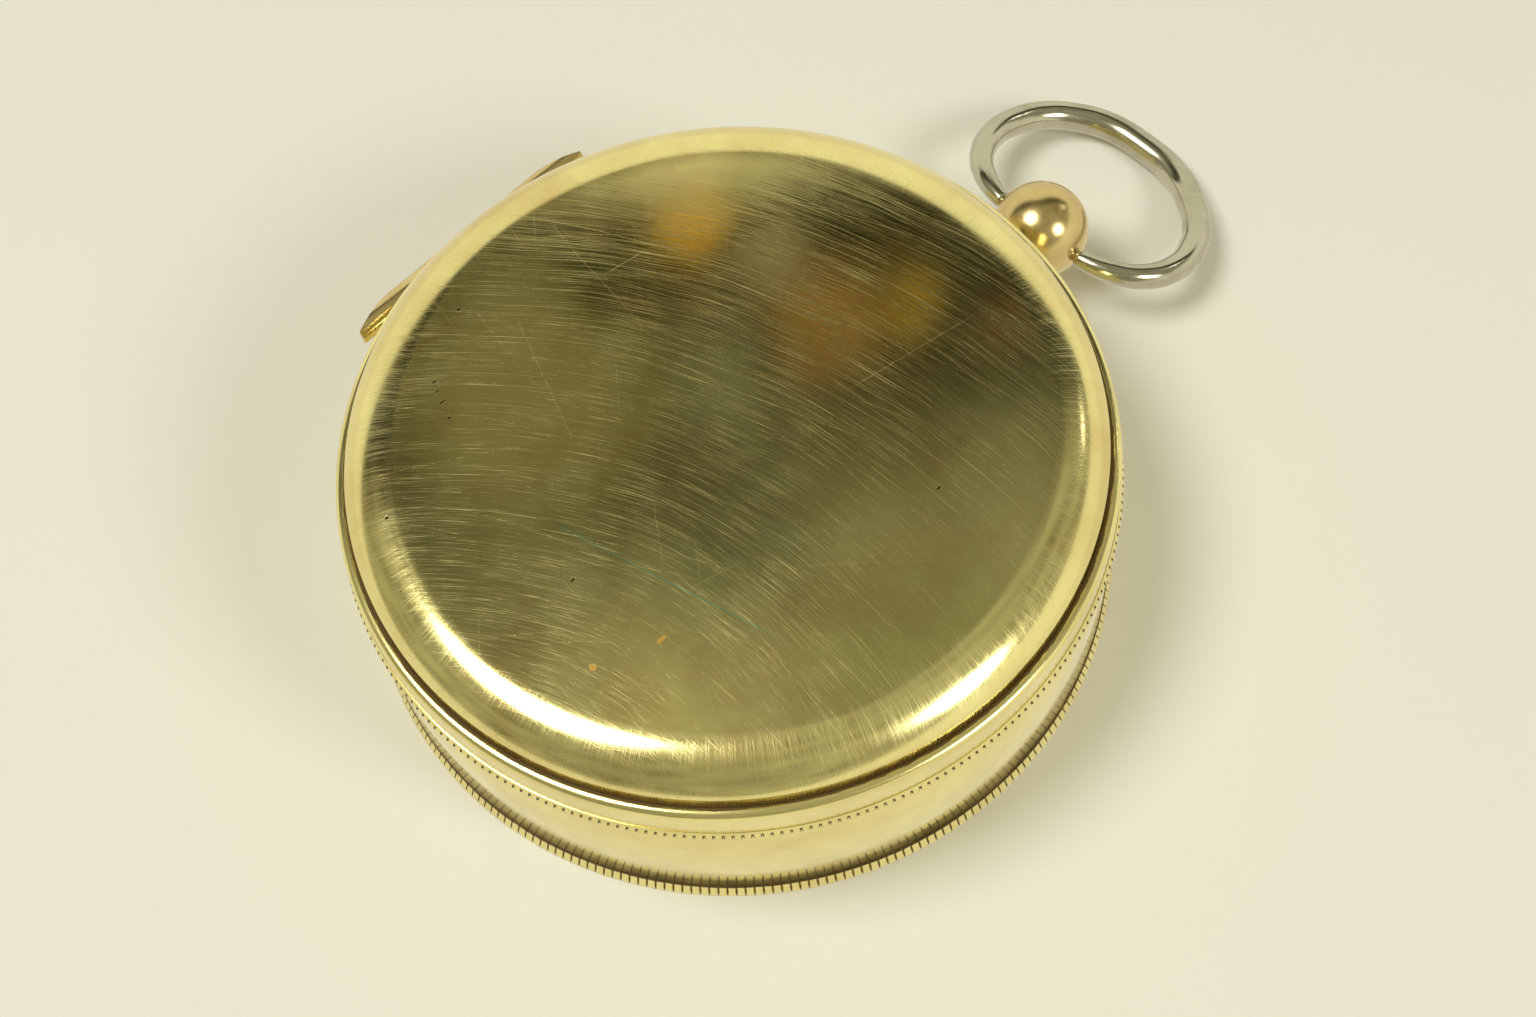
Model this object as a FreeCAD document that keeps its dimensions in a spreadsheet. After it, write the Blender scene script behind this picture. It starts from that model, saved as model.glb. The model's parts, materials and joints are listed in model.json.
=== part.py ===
import FreeCAD, Part
import math
import os
import re

import Sketcher

# A pocket compass in a closed hunter case, in millimetres. The origin is the centre of the
# underside, +Z is up, the pendant points along +Y and the lid's hinge is on the -X side.

SIZES = {
    # drum of the case
    "case_radius": 30.0,
    "wall_step": 0.4,
    "wall_thickness": 1.4,
    "seat_wall": 0.7,
    "split_height": 12.5,
    "lid_gap": 0.05,
    "undercut_depth": 0.3,
    "undercut_height": 0.15,
    # bottom of the case
    "base_thickness": 1.4,
    "rim_height": 0.95,
    "rim_chamfer": 0.15,
    "spigot_rise": 1.0,
    "spigot_thickness": 0.8,
    # glass and its bezel
    "bezel_height": 1.8,
    "bezel_gap": 0.15,
    "bezel_play": 0.03,
    "bezel_width": 2.6,
    "glass_bed": 0.7,
    "glass_lap": 1.0,
    "glass_thickness": 0.9,
    "glass_ring_width": 0.8,
    # dial, card and degree ring
    "dial_thickness": 0.8,
    "dial_play": 0.1,
    "card_thickness": 0.15,
    "chapter_drop": 2.1,
    "chapter_margin": 1.9,
    "chapter_width": 4.8,
    "chapter_thickness": 1.8,
    "notch_play": 0.6,
    # pillars and screws under the dial
    "post_margin": 1.9,
    "post_radius": 1.6,
    "tenon_radius": 0.8,
    "tenon_depth": 1.0,
    "screw_radius": 0.55,
    "screw_head_radius": 1.1,
    "screw_head": 0.6,
    "screw_depth": 1.6,
    "screw_slot": 0.25,
    "screw_play": 0.05,
    # pivot and lift sleeve
    "boss_radius": 2.4,
    "boss_height": 1.1,
    "pivot_radius": 0.6,
    "pivot_root": 0.9,
    "tip_length": 0.8,
    "tip_gap": 0.05,
    "running_gap": 0.05,
    "sleeve_wall": 0.55,
    "sleeve_play": 0.3,
    "flange_radius": 2.2,
    "flange_thickness": 0.5,
    "needle_drop": 0.5,
    # needle, lying in the lifted place
    "cap_radius": 1.6,
    "cap_height": 2.4,
    "cap_gap": 0.1,
    "cap_shoulder": 1.1,
    "cap_top_radius": 0.5,
    "blade_rise": 0.5,
    "blade_thickness": 0.25,
    "needle_margin": 1.5,
    "needle_width": 3.8,
    "jewel_radius": 1.0,
    "jewel_thickness": 0.55,
    "jewel_roof": 0.7,
    "cup_depth": 0.4,
    "cup_radius": 0.7,
    "slider_inset": 9.5,
    "slider_length": 1.6,
    "slider_width": 2.8,
    "slider_wall": 0.25,
    # lock pin, lever and leaf spring
    "lock_radius": 0.6,
    "lock_margin": 1.0,
    "lock_travel": 0.7,
    "lock_gap": 0.1,
    "lock_collar_radius": 0.9,
    "lock_collar": 0.25,
    "lever_arm": 15.8,
    "lever_height": 3.2,
    "lever_thickness": 0.55,
    "lever_width": 3.0,
    "lever_end": 0.5,
    "fork_length": 2.4,
    "fork_play": 0.3,
    "fork_gap": 0.15,
    "hub_radius": 1.0,
    "lever_pin_radius": 0.5,
    "ear_gap": 0.1,
    "ear_thickness": 0.8,
    "ear_height": 3.2,
    "foot_thickness": 0.5,
    "foot_length": 3.0,
    "spring_thickness": 0.25,
    "spring_width": 2.4,
    "spring_foot": 3.6,
    "spring_start": 2.4,
    "spring_reach": 10.5,
    "spring_gap": 0.1,
    # pendant and its ball
    "pendant_height": 6.3,
    "pendant_ball_radius": 4.0,
    "ball_reach": 6.2,
    "stud_radius": 1.2,
    "stud_depth": 2.6,
    "neck_radius": 1.7,
    "collar_radius": 2.5,
    "collar_thickness": 0.7,
    "nut_width": 4.6,
    "nut_thickness": 1.2,
    "nut_play": 0.3,
    # bow
    "bow_half_width": 10.2,
    "bow_length": 15.9,
    "bow_lean": 1.2,
    "bow_radius": 1.25,
    "bow_end_radius": 0.72,
    "bow_pin_radius": 0.5,
    "bow_pin_depth": 1.5,
    "bow_gap": 0.35,
    "bow_rest_gap": 0.1,
    # hinge
    "hinge_reach": 0.3,
    "hinge_rise": 0.2,
    "barrel_radius": 1.0,
    "hinge_length": 24.0,
    "middle_length": 8.3,
    "knuckle_gap": 0.1,
    "hinge_clear": 0.1,
    "hinge_pin_radius": 0.45,
    "hinge_round": 2.1,
    "pin_inset": 2.4,
    "web_thickness": 0.55,
    "web_drop": 0.1,
    "web_length": 4.6,
    "leaf_height": 1.5,
    "leaf_depth": 0.5,
    # lid
    "band_recess": 0.3,
    "band_wall": 0.75,
    "band_rise": 3.7,
    "band_round": 0.6,
    "milled_height": 0.85,
    "ledge_rise": 2.5,
    "ledge_thickness": 0.8,
    "ledge_width": 2.35,
    "groove_width": 0.25,
    "dome_side": 2.2,
    "lip_radius": 0.3,
    "shoulder_radius": 5.0,
    "shoulder_turn": 55,
    "dome_wall": 0.7,
    "dome_crown": 0.3,
    "snap_gap": 0.1,
    "snap_thickness": 0.5,
    "snap_drop": 0.25,
    # run of a cutting shape past what it cuts
    "overrun": 1.0,
}

POST_ANGLES = (60, 180, 300)

# Half of the bow's middle line: across and outwards, as shares of its half width and its length.
BOW_LINE_SHARES = (
    (0.68, 0.06),
    (0.89, 0.18),
    (1.00, 0.38),
    (0.97, 0.56),
    (0.86, 0.72),
    (0.66, 0.86),
    (0.37, 0.97),
)

# Share of the bow's half length, from each end, over which its wire swells to its full size.
BOW_SWELL_SHARE = 0.5

# Heights and distances that several pieces share, as formulas on the sheet's values.
WALL_RADIUS = "(case_radius - wall_step)"
BORE_RADIUS = "(case_radius - wall_step - wall_thickness)"
SEAT_RADIUS = "(case_radius - wall_step - seat_wall)"
CASE_TOP = "(split_height - lid_gap)"
LID_FOOT = "(split_height + lid_gap)"
BEZEL_TOP = "(split_height - snap_drop - bezel_gap)"
SEAT = "(split_height - snap_drop - bezel_gap - bezel_height)"
GLASS_RADIUS = "(case_radius - wall_step - seat_wall - bezel_width)"
GLASS_FOOT = "(" + SEAT + " + glass_bed)"
CHAPTER_TOP = "(" + SEAT + " - chapter_drop)"
DIAL_TOP = "(" + SEAT + " - chapter_drop - chapter_thickness)"
DIAL_FOOT = "(" + SEAT + " - chapter_drop - chapter_thickness - dial_thickness)"
CHAPTER_OUTER = "(" + BORE_RADIUS + " - chapter_margin)"
CHAPTER_INNER = "(" + BORE_RADIUS + " - chapter_margin - chapter_width)"
POST_CIRCLE = "(" + BORE_RADIUS + " - chapter_margin - post_margin)"
NEEDLE_REACH = "(" + BORE_RADIUS + " - chapter_margin - chapter_width - needle_margin)"
LOCK_CIRCLE = "(" + BORE_RADIUS + " - lock_margin)"
LEVER_X = "(" + BORE_RADIUS + " - lock_margin - lever_arm)"
CAP_FOOT = "(" + GLASS_FOOT + " - cap_gap - cap_height)"
BLADE_FOOT = "(" + GLASS_FOOT + " - cap_gap - cap_height + blade_rise)"
JEWEL_TOP = "(" + GLASS_FOOT + " - cap_gap - jewel_roof)"
LEVER_TOP = "(lever_height + lever_thickness)"
FLANGE_FOOT = "(lever_height + lever_thickness + fork_gap)"
HUB_HEIGHT = "(lever_height + lever_thickness / 2)"
TIP_HEIGHT = "(" + JEWEL_TOP + " - jewel_thickness + cup_depth - needle_drop - tip_gap)"
BAND_RADIUS = "(case_radius - band_recess)"
BAND_INSIDE = "(case_radius - band_recess - band_wall)"
BAND_TOP = "(split_height + band_rise)"
MILLED_TOP = "(split_height + lid_gap + milled_height)"
LEDGE_TOP = "(split_height + ledge_rise)"
LEDGE_FOOT = "(split_height + ledge_rise - ledge_thickness)"
DOME_RADIUS = "(case_radius - band_recess - band_wall - groove_width)"
HINGE_X = "(0 - case_radius - hinge_reach)"
HINGE_Z = "(split_height + hinge_rise)"
BALL_Y = "(case_radius - wall_step + ball_reach)"

document = FreeCAD.newDocument("pocket_compass")
sheet = document.addObject("Spreadsheet::Sheet", "sizes")
for row, (word, number) in enumerate(SIZES.items(), start=1):
    sheet.set("A%d" % row, word)
    sheet.set("B%d" % row, str(number))
    sheet.setAlias("B%d" % row, word)
document.recompute()

pieces = []


def bound(formula):
    """The formula with each of the sheet's names written as FreeCAD reads it from outside."""
    return re.sub(
        "[a-z][a-z_]*",
        lambda found: "sizes." + found.group() if found.group() in SIZES else found.group(),
        formula,
    )


def amount(formula):
    return float(sheet.evalExpression(bound(formula)))


def keep(thing, label):
    """Mark an object as a finished piece under its own label."""
    thing.Label = label
    pieces.append(thing)
    return thing


def arc_between(start, end, radius, side):
    """A short arc whose centre lies to the left or right of the way from start to end."""
    chord = end - start
    height = math.sqrt(radius ** 2 - (chord.Length / 2) ** 2)
    across = FreeCAD.Vector(-chord.y, chord.x, 0).normalize()
    centre = (start + end) / 2 + across * (height if side == "left" else -height)
    first, last = (start, end) if side == "left" else (end, start)
    circle = Part.Circle(centre, FreeCAD.Vector(0, 0, 1), radius)
    return Part.ArcOfCircle(circle, circle.parameter(first), circle.parameter(last))


def outline(sketch, corners, arcs=None):
    """Draw a closed outline whose corners and arc radii are bound to formulas."""
    arcs = arcs or {}
    places = [FreeCAD.Vector(amount(x), amount(y), 0) for x, y in corners]
    ends = []
    for index, start in enumerate(places):
        end = places[(index + 1) % len(places)]
        if index in arcs:
            radius, side = arcs[index]
            edge = sketch.addGeometry(arc_between(start, end, amount(radius), side), False)
            ends.append((edge, 1, 2) if side == "left" else (edge, 2, 1))
        else:
            edge = sketch.addGeometry(Part.LineSegment(start, end), False)
            ends.append((edge, 1, 2))
    for index, (edge, first, last) in enumerate(ends):
        following, opening, closing = ends[(index + 1) % len(ends)]
        sketch.addConstraint(Sketcher.Constraint("Coincident", edge, last, following, opening))
    for index, (edge, first, last) in enumerate(ends):
        for kind, axis, formula in (
            ("DistanceX", -2, corners[index][0]),
            ("DistanceY", -1, corners[index][1]),
        ):
            if formula == "0":
                sketch.addConstraint(Sketcher.Constraint("PointOnObject", edge, first, axis))
            else:
                rule = Sketcher.Constraint(kind, -1, 1, edge, first, amount(formula))
                number = sketch.addConstraint(rule)
                sketch.setExpression("Constraints[%d]" % number, bound(formula))
        if index in arcs:
            radius = arcs[index][0]
            number = sketch.addConstraint(Sketcher.Constraint("Radius", edge, amount(radius)))
            sketch.setExpression("Constraints[%d]" % number, bound(radius))


def new_sketch(name, plane):
    body = document.addObject("PartDesign::Body", name)
    planes = {feature.Role: feature for feature in body.Origin.OriginFeatures}
    sketch = body.newObject("Sketcher::SketchObject", name + "_outline")
    sketch.AttachmentSupport = [(planes[plane], "")]
    sketch.MapMode = "FlatFace"
    return body, sketch


def turned(name, corners, arcs=None):
    """A piece turned about the case's axis, from corners given as radius and height."""
    body, sketch = new_sketch(name, "XZ_Plane")
    outline(sketch, corners, arcs)
    turn = body.newObject("PartDesign::Revolution", name + "_turn")
    turn.Profile = sketch
    turn.ReferenceAxis = (sketch, ["V_Axis"])
    turn.Angle = 360
    document.recompute()
    return body


def padded(name, plane, corners, thickness, height=None, midplane=False):
    """A flat piece of one thickness, lifted by height or padded to both sides."""
    body, sketch = new_sketch(name, plane)
    outline(sketch, corners)
    if height:
        sketch.setExpression("AttachmentOffset.Base.z", bound(height))
    pad = body.newObject("PartDesign::Pad", name + "_pad")
    pad.Profile = sketch
    pad.setExpression("Length", bound(thickness))
    pad.Midplane = midplane
    document.recompute()
    return body


def place(thing, x, y, z):
    for axis, formula in (("x", x), ("y", y), ("z", z)):
        thing.setExpression("Placement.Base." + axis, bound(formula))


def rod(name, radius, length, x, y, z, along="z"):
    """A round bar that starts at a point and runs along an axis."""
    bar = document.addObject("Part::Cylinder", name)
    bar.setExpression("Radius", bound(radius))
    bar.setExpression("Height", bound(length))
    turns = {
        "z": FreeCAD.Rotation(),
        "x": FreeCAD.Rotation(FreeCAD.Vector(0, 1, 0), 90),
        "y": FreeCAD.Rotation(FreeCAD.Vector(1, 0, 0), -90),
    }
    bar.Placement.Rotation = turns[along]
    place(bar, x, y, z)
    return bar


def block(name, lows, spans):
    box = document.addObject("Part::Box", name)
    for side, span in zip(("Length", "Width", "Height"), spans):
        box.setExpression(side, bound(span))
    place(box, *lows)
    return box


def fused(name, things):
    union = document.addObject("Part::MultiFuse", name)
    union.Shapes = things
    union.Refine = True
    return union


def less(name, base, tools):
    """The base with the tools cut out of it."""
    result = document.addObject("Part::Cut", name)
    result.Base = base
    result.Tool = tools[0] if len(tools) == 1 else fused(name + "_tools", tools)
    result.Refine = True
    return result


def grouped(name, things):
    group = document.addObject("Part::Compound", name)
    group.Links = things
    return group


def around(name, make):
    """One copy of a piece at each dial pillar's angle."""
    copies = []
    for number, angle in enumerate(POST_ANGLES, start=1):
        x = POST_CIRCLE + " * cos(%d)" % angle
        y = POST_CIRCLE + " * sin(%d)" % angle
        copies.append(make("%s_%d" % (name, number), x, y))
    return copies


# Spaces that several pieces are cut for: the hinge barrel with its clearance, the leaf let into
# the lid's band, the pendant's stud, and the notches at the edge of the dial.
hinge_room = rod(
    "hinge_room",
    "barrel_radius + hinge_clear",
    "hinge_length + 2 * hinge_clear",
    HINGE_X,
    "0 - hinge_length / 2 - hinge_clear",
    HINGE_Z,
    "y",
)
leaf_room = block(
    "leaf_room",
    (HINGE_X + " - overrun", "0 - middle_length / 2", LID_FOOT + " - overrun"),
    (
        "hinge_reach + leaf_depth + overrun",
        "middle_length",
        "leaf_height + hinge_rise - lid_gap + overrun",
    ),
)
stud_room = rod(
    "stud_room",
    "stud_radius",
    "wall_thickness + 2 * overrun",
    "0",
    BORE_RADIUS + " - overrun",
    "pendant_height",
    "y",
)


def case_drum():
    plate = turned(
        "base_blank",
        [
            ("0", "0"),
            ("case_radius - rim_chamfer", "0"),
            ("case_radius", "rim_chamfer"),
            ("case_radius", "rim_height - rim_chamfer"),
            ("case_radius - rim_chamfer", "rim_height"),
            (BORE_RADIUS, "rim_height"),
            (BORE_RADIUS, "base_thickness + spigot_rise"),
            (BORE_RADIUS + " - spigot_thickness", "base_thickness + spigot_rise"),
            (BORE_RADIUS + " - spigot_thickness", "base_thickness"),
            ("0", "base_thickness"),
        ],
    )
    holes = around(
        "tenon_hole",
        lambda name, x, y: rod(
            name, "tenon_radius", "tenon_depth + overrun", x, y, "base_thickness - tenon_depth"
        ),
    )
    holes.append(
        rod("boss_hole", "pivot_radius", "pivot_root + overrun", "0", "0", "base_thickness - pivot_root")
    )
    holes.append(
        rod(
            "spring_hole",
            "screw_radius",
            "tenon_depth + overrun",
            LEVER_X + " + spring_start + spring_foot / 2",
            "0",
            "base_thickness - tenon_depth",
        )
    )
    keep(less("base_plate", plate, holes), "base_plate")

    wall = turned(
        "wall_blank",
        [
            (BORE_RADIUS, "rim_height"),
            (WALL_RADIUS + " - undercut_depth", "rim_height"),
            (WALL_RADIUS + " - undercut_depth", "rim_height + undercut_height"),
            (WALL_RADIUS, "rim_height + undercut_height"),
            (WALL_RADIUS, CASE_TOP),
            (SEAT_RADIUS, CASE_TOP),
            (SEAT_RADIUS, SEAT),
            (BORE_RADIUS, SEAT),
        ],
    )
    keep(less("case_wall", wall, [hinge_room, stud_room]), "case_wall")


def glazing():
    ring = turned(
        "bezel_blank",
        [
            (GLASS_RADIUS + " - glass_lap", SEAT),
            (SEAT_RADIUS + " - bezel_play", SEAT),
            (SEAT_RADIUS + " - bezel_play", BEZEL_TOP),
            (GLASS_RADIUS, BEZEL_TOP),
            (GLASS_RADIUS, GLASS_FOOT),
            (GLASS_RADIUS + " - glass_lap", GLASS_FOOT),
        ],
    )
    guide = rod(
        "lock_hole",
        "lock_radius + running_gap",
        "bezel_height + 2 * overrun",
        LOCK_CIRCLE,
        "0",
        SEAT + " - overrun",
    )
    keep(less("bezel", ring, [guide]), "bezel")
    keep(rod("glass", GLASS_RADIUS, "glass_thickness", "0", "0", GLASS_FOOT), "glass")
    thin_ring = turned(
        "glass_ring",
        [
            (GLASS_RADIUS + " - glass_ring_width", GLASS_FOOT + " + glass_thickness"),
            (GLASS_RADIUS, GLASS_FOOT + " + glass_thickness"),
            (GLASS_RADIUS, BEZEL_TOP),
            (GLASS_RADIUS + " - glass_ring_width", BEZEL_TOP),
        ],
    )
    keep(thin_ring, "glass_ring")


def dial():
    centre_hole = rod(
        "centre_hole",
        "pivot_radius + running_gap + sleeve_wall + sleeve_play",
        "dial_thickness + card_thickness + 2 * overrun",
        "0",
        "0",
        DIAL_FOOT + " - overrun",
    )
    lock_notch = block(
        "lock_notch",
        (
            LOCK_CIRCLE + " - lock_radius - notch_play",
            "0 - lock_radius - notch_play",
            DIAL_FOOT + " - overrun",
        ),
        ("case_radius", "2 * (lock_radius + notch_play)", "dial_thickness + 2 * overrun"),
    )
    nut_notch = block(
        "nut_notch",
        (
            "0 - nut_width / sqrt(3) - nut_play",
            BORE_RADIUS + " - nut_thickness - nut_play",
            DIAL_FOOT + " - overrun",
        ),
        ("2 * (nut_width / sqrt(3) + nut_play)", "case_radius", "dial_thickness + 2 * overrun"),
    )
    plate = rod("dial_blank", BORE_RADIUS + " - dial_play", "dial_thickness", "0", "0", DIAL_FOOT)
    passages = around(
        "screw_passage",
        lambda name, x, y: rod(
            name,
            "screw_radius + screw_play",
            "dial_thickness + chapter_thickness + 2 * overrun",
            x,
            y,
            DIAL_FOOT + " - overrun",
        ),
    )
    keep(
        less("dial_plate", plate, [centre_hole, lock_notch, nut_notch] + passages),
        "dial_plate",
    )
    card = rod("card_blank", CHAPTER_INNER, "card_thickness", "0", "0", DIAL_TOP)
    keep(less("dial_card", card, [centre_hole]), "dial_card")
    ring = turned(
        "chapter_blank",
        [
            (CHAPTER_INNER, DIAL_TOP),
            (CHAPTER_OUTER, DIAL_TOP),
            (CHAPTER_OUTER, CHAPTER_TOP),
            (CHAPTER_INNER, CHAPTER_TOP),
        ],
    )
    sinks = around(
        "screw_sink",
        lambda name, x, y: rod(
            name,
            "screw_head_radius + screw_play",
            "screw_head + overrun",
            x,
            y,
            CHAPTER_TOP + " - screw_head",
        ),
    )
    keep(less("chapter_ring", ring, passages + sinks), "chapter_ring")


def pillars_and_screws():
    def pillar(name, x, y):
        shaft = rod(
            name + "_shaft", "post_radius", DIAL_FOOT + " - base_thickness", x, y, "base_thickness"
        )
        tenon = rod(
            name + "_tenon",
            "tenon_radius",
            "tenon_depth + screw_radius",
            x,
            y,
            "base_thickness - tenon_depth",
        )
        bore = rod(
            name + "_bore",
            "screw_radius",
            "screw_depth + overrun",
            x,
            y,
            DIAL_FOOT + " - screw_depth",
        )
        return less(name, fused(name + "_solid", [shaft, tenon]), [bore])

    def screw(name, x, y):
        shank = rod(
            name + "_shank",
            "screw_radius",
            "screw_depth + dial_thickness + chapter_thickness - screw_head / 2",
            x,
            y,
            DIAL_FOOT + " - screw_depth",
        )
        head = rod(name + "_head", "screw_head_radius", "screw_head", x, y, CHAPTER_TOP + " - screw_head")
        slot = block(
            name + "_slot",
            (
                x + " - screw_head_radius - overrun",
                y + " - screw_slot / 2",
                CHAPTER_TOP + " - screw_head / 2",
            ),
            ("2 * (screw_head_radius + overrun)", "screw_slot", "screw_head + overrun"),
        )
        return less(name, fused(name + "_solid", [shank, head]), [slot])

    keep(grouped("dial_posts", around("post", pillar)), "dial_posts")
    keep(grouped("dial_screws", around("screw", screw)), "dial_screws")


def pivot():
    boss = turned(
        "pivot_boss",
        [
            ("pivot_radius", "base_thickness"),
            ("boss_radius", "base_thickness"),
            ("boss_radius", "base_thickness + boss_height"),
            ("pivot_radius", "base_thickness + boss_height"),
        ],
    )
    keep(boss, "pivot_boss")
    pin = turned(
        "pivot_pin",
        [
            ("0", "base_thickness - pivot_root"),
            ("pivot_radius", "base_thickness - pivot_root"),
            ("pivot_radius", TIP_HEIGHT + " - tip_length"),
            ("0", TIP_HEIGHT),
        ],
    )
    keep(pin, "pivot_pin")
    sleeve = turned(
        "lift_sleeve",
        [
            ("pivot_radius + running_gap", FLANGE_FOOT),
            ("flange_radius", FLANGE_FOOT),
            ("flange_radius", FLANGE_FOOT + " + flange_thickness"),
            ("pivot_radius + running_gap + sleeve_wall", FLANGE_FOOT + " + flange_thickness"),
            ("pivot_radius + running_gap + sleeve_wall", CAP_FOOT + " - running_gap"),
            ("pivot_radius + running_gap", CAP_FOOT + " - running_gap"),
        ],
    )
    keep(sleeve, "lift_sleeve")


def needle():
    blade = padded(
        "blade_blank",
        "XY_Plane",
        [
            ("0", NEEDLE_REACH),
            ("0 - needle_width / 2", "0"),
            ("0", "0 - " + NEEDLE_REACH),
            ("needle_width / 2", "0"),
        ],
        "blade_thickness",
        height=BLADE_FOOT,
    )
    eye = rod("blade_eye", "cap_radius", "cap_height", "0", "0", CAP_FOOT)
    keep(less("needle", blade, [eye]), "needle")
    cap = turned(
        "needle_cap",
        [
            ("jewel_radius", CAP_FOOT),
            ("cap_radius", CAP_FOOT),
            ("cap_radius", CAP_FOOT + " + cap_shoulder"),
            ("cap_top_radius", CAP_FOOT + " + cap_height"),
            ("0", CAP_FOOT + " + cap_height"),
            ("0", JEWEL_TOP),
            ("jewel_radius", JEWEL_TOP),
        ],
    )
    keep(cap, "needle_cap")
    jewel = turned(
        "needle_jewel",
        [
            ("cup_radius", JEWEL_TOP + " - jewel_thickness"),
            ("jewel_radius", JEWEL_TOP + " - jewel_thickness"),
            ("jewel_radius", JEWEL_TOP),
            ("0", JEWEL_TOP),
            ("0", JEWEL_TOP + " - jewel_thickness + cup_depth"),
        ],
    )
    keep(jewel, "needle_jewel")
    rider = block(
        "rider_blank",
        (
            "0 - slider_width / 2",
            "slider_inset - slider_length / 2 - " + NEEDLE_REACH,
            BLADE_FOOT + " - slider_wall",
        ),
        ("slider_width", "slider_length", "blade_thickness + 2 * slider_wall"),
    )
    keep(less("balance_slider", rider, [blade]), "balance_slider")


def lock():
    pin = turned(
        "lock_blank",
        [
            ("0", LEVER_TOP + " + lock_gap"),
            ("lock_radius", LEVER_TOP + " + lock_gap"),
            ("lock_radius", SEAT + " - lock_travel - running_gap - lock_collar"),
            ("lock_collar_radius", SEAT + " - lock_travel - running_gap - lock_collar"),
            ("lock_collar_radius", SEAT + " - lock_travel - running_gap"),
            ("lock_radius", SEAT + " - lock_travel - running_gap"),
            ("lock_radius", LEDGE_FOOT + " - lock_gap - lock_radius / 2"),
            ("lock_radius / 2", LEDGE_FOOT + " - lock_gap"),
            ("0", LEDGE_FOOT + " - lock_gap"),
        ],
    )
    pin.setExpression("Placement.Base.x", bound(LOCK_CIRCLE))
    keep(pin, "lock_pin")

    strip = block(
        "lever_strip",
        ("0 - fork_length", "0 - lever_width / 2", "lever_height"),
        (LOCK_CIRCLE + " + lever_end + fork_length", "lever_width", "lever_thickness"),
    )
    hub = rod("lever_hub", "hub_radius", "lever_width", LEVER_X, "0 - lever_width / 2", HUB_HEIGHT, "y")
    slot = block(
        "fork_slot",
        (
            "0 - fork_length - overrun",
            "0 - pivot_radius - fork_play",
            "lever_height - overrun",
        ),
        (
            "fork_length + overrun + pivot_radius + fork_play",
            "2 * (pivot_radius + fork_play)",
            "lever_thickness + 2 * overrun",
        ),
    )
    bore = rod(
        "lever_bore",
        "lever_pin_radius + running_gap",
        "lever_width + 2 * overrun",
        LEVER_X,
        "0 - lever_width / 2 - overrun",
        HUB_HEIGHT,
        "y",
    )
    keep(less("lifter_lever", fused("lever_solid", [strip, hub]), [slot, bore]), "lifter_lever")

    foot = block(
        "bracket_foot",
        (
            LEVER_X + " - foot_length / 2",
            "0 - lever_width / 2 - ear_gap - ear_thickness",
            "base_thickness",
        ),
        ("foot_length", "lever_width + 2 * (ear_gap + ear_thickness)", "foot_thickness"),
    )
    ears = []
    for number, y in enumerate(
        ("lever_width / 2 + ear_gap", "0 - lever_width / 2 - ear_gap - ear_thickness"), start=1
    ):
        ears.append(
            block(
                "bracket_ear_%d" % number,
                (LEVER_X + " - foot_length / 2", y, "base_thickness"),
                ("foot_length", "ear_thickness", "ear_height"),
            )
        )
    pin_room = rod(
        "lever_pin_room",
        "lever_pin_radius",
        "lever_width + 2 * (ear_gap + ear_thickness + overrun)",
        LEVER_X,
        "0 - lever_width / 2 - ear_gap - ear_thickness - overrun",
        HUB_HEIGHT,
        "y",
    )
    bracket = fused("bracket_solid", [foot] + ears)
    keep(less("lever_bracket", bracket, [pin_room]), "lever_bracket")
    axle = rod(
        "lever_pin",
        "lever_pin_radius",
        "lever_width + 2 * (ear_gap + ear_thickness)",
        LEVER_X,
        "0 - lever_width / 2 - ear_gap - ear_thickness",
        HUB_HEIGHT,
        "y",
    )
    keep(axle, "lever_pin")


def leaf_spring():
    start = "(" + LEVER_X + " + spring_start)"
    leaf = padded(
        "spring_blank",
        "XZ_Plane",
        [
            (start, "base_thickness"),
            (start + " + spring_foot", "base_thickness"),
            (start + " + spring_reach", "lever_height - spring_gap - spring_thickness"),
            (start + " + spring_reach", "lever_height - spring_gap"),
            (start + " + spring_foot", "base_thickness + spring_thickness"),
            (start, "base_thickness + spring_thickness"),
        ],
        "spring_width",
        midplane=True,
    )
    x = start + " + spring_foot / 2"
    passage = rod(
        "spring_passage",
        "screw_radius",
        "spring_thickness + 2 * overrun",
        x,
        "0",
        "base_thickness - overrun",
    )
    keep(less("return_spring", leaf, [passage]), "return_spring")
    shank = rod(
        "spring_shank",
        "screw_radius",
        "tenon_depth + spring_thickness + screw_head / 2",
        x,
        "0",
        "base_thickness - tenon_depth",
    )
    head = rod("spring_head", "screw_head_radius", "screw_head", x, "0", "base_thickness + spring_thickness")
    slot = block(
        "spring_head_slot",
        (
            x + " - screw_head_radius - overrun",
            "0 - screw_slot / 2",
            "base_thickness + spring_thickness + screw_head / 2",
        ),
        ("2 * (screw_head_radius + overrun)", "screw_slot", "screw_head + overrun"),
    )
    keep(less("spring_screw", fused("spring_screw_solid", [shank, head]), [slot]), "spring_screw")


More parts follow.
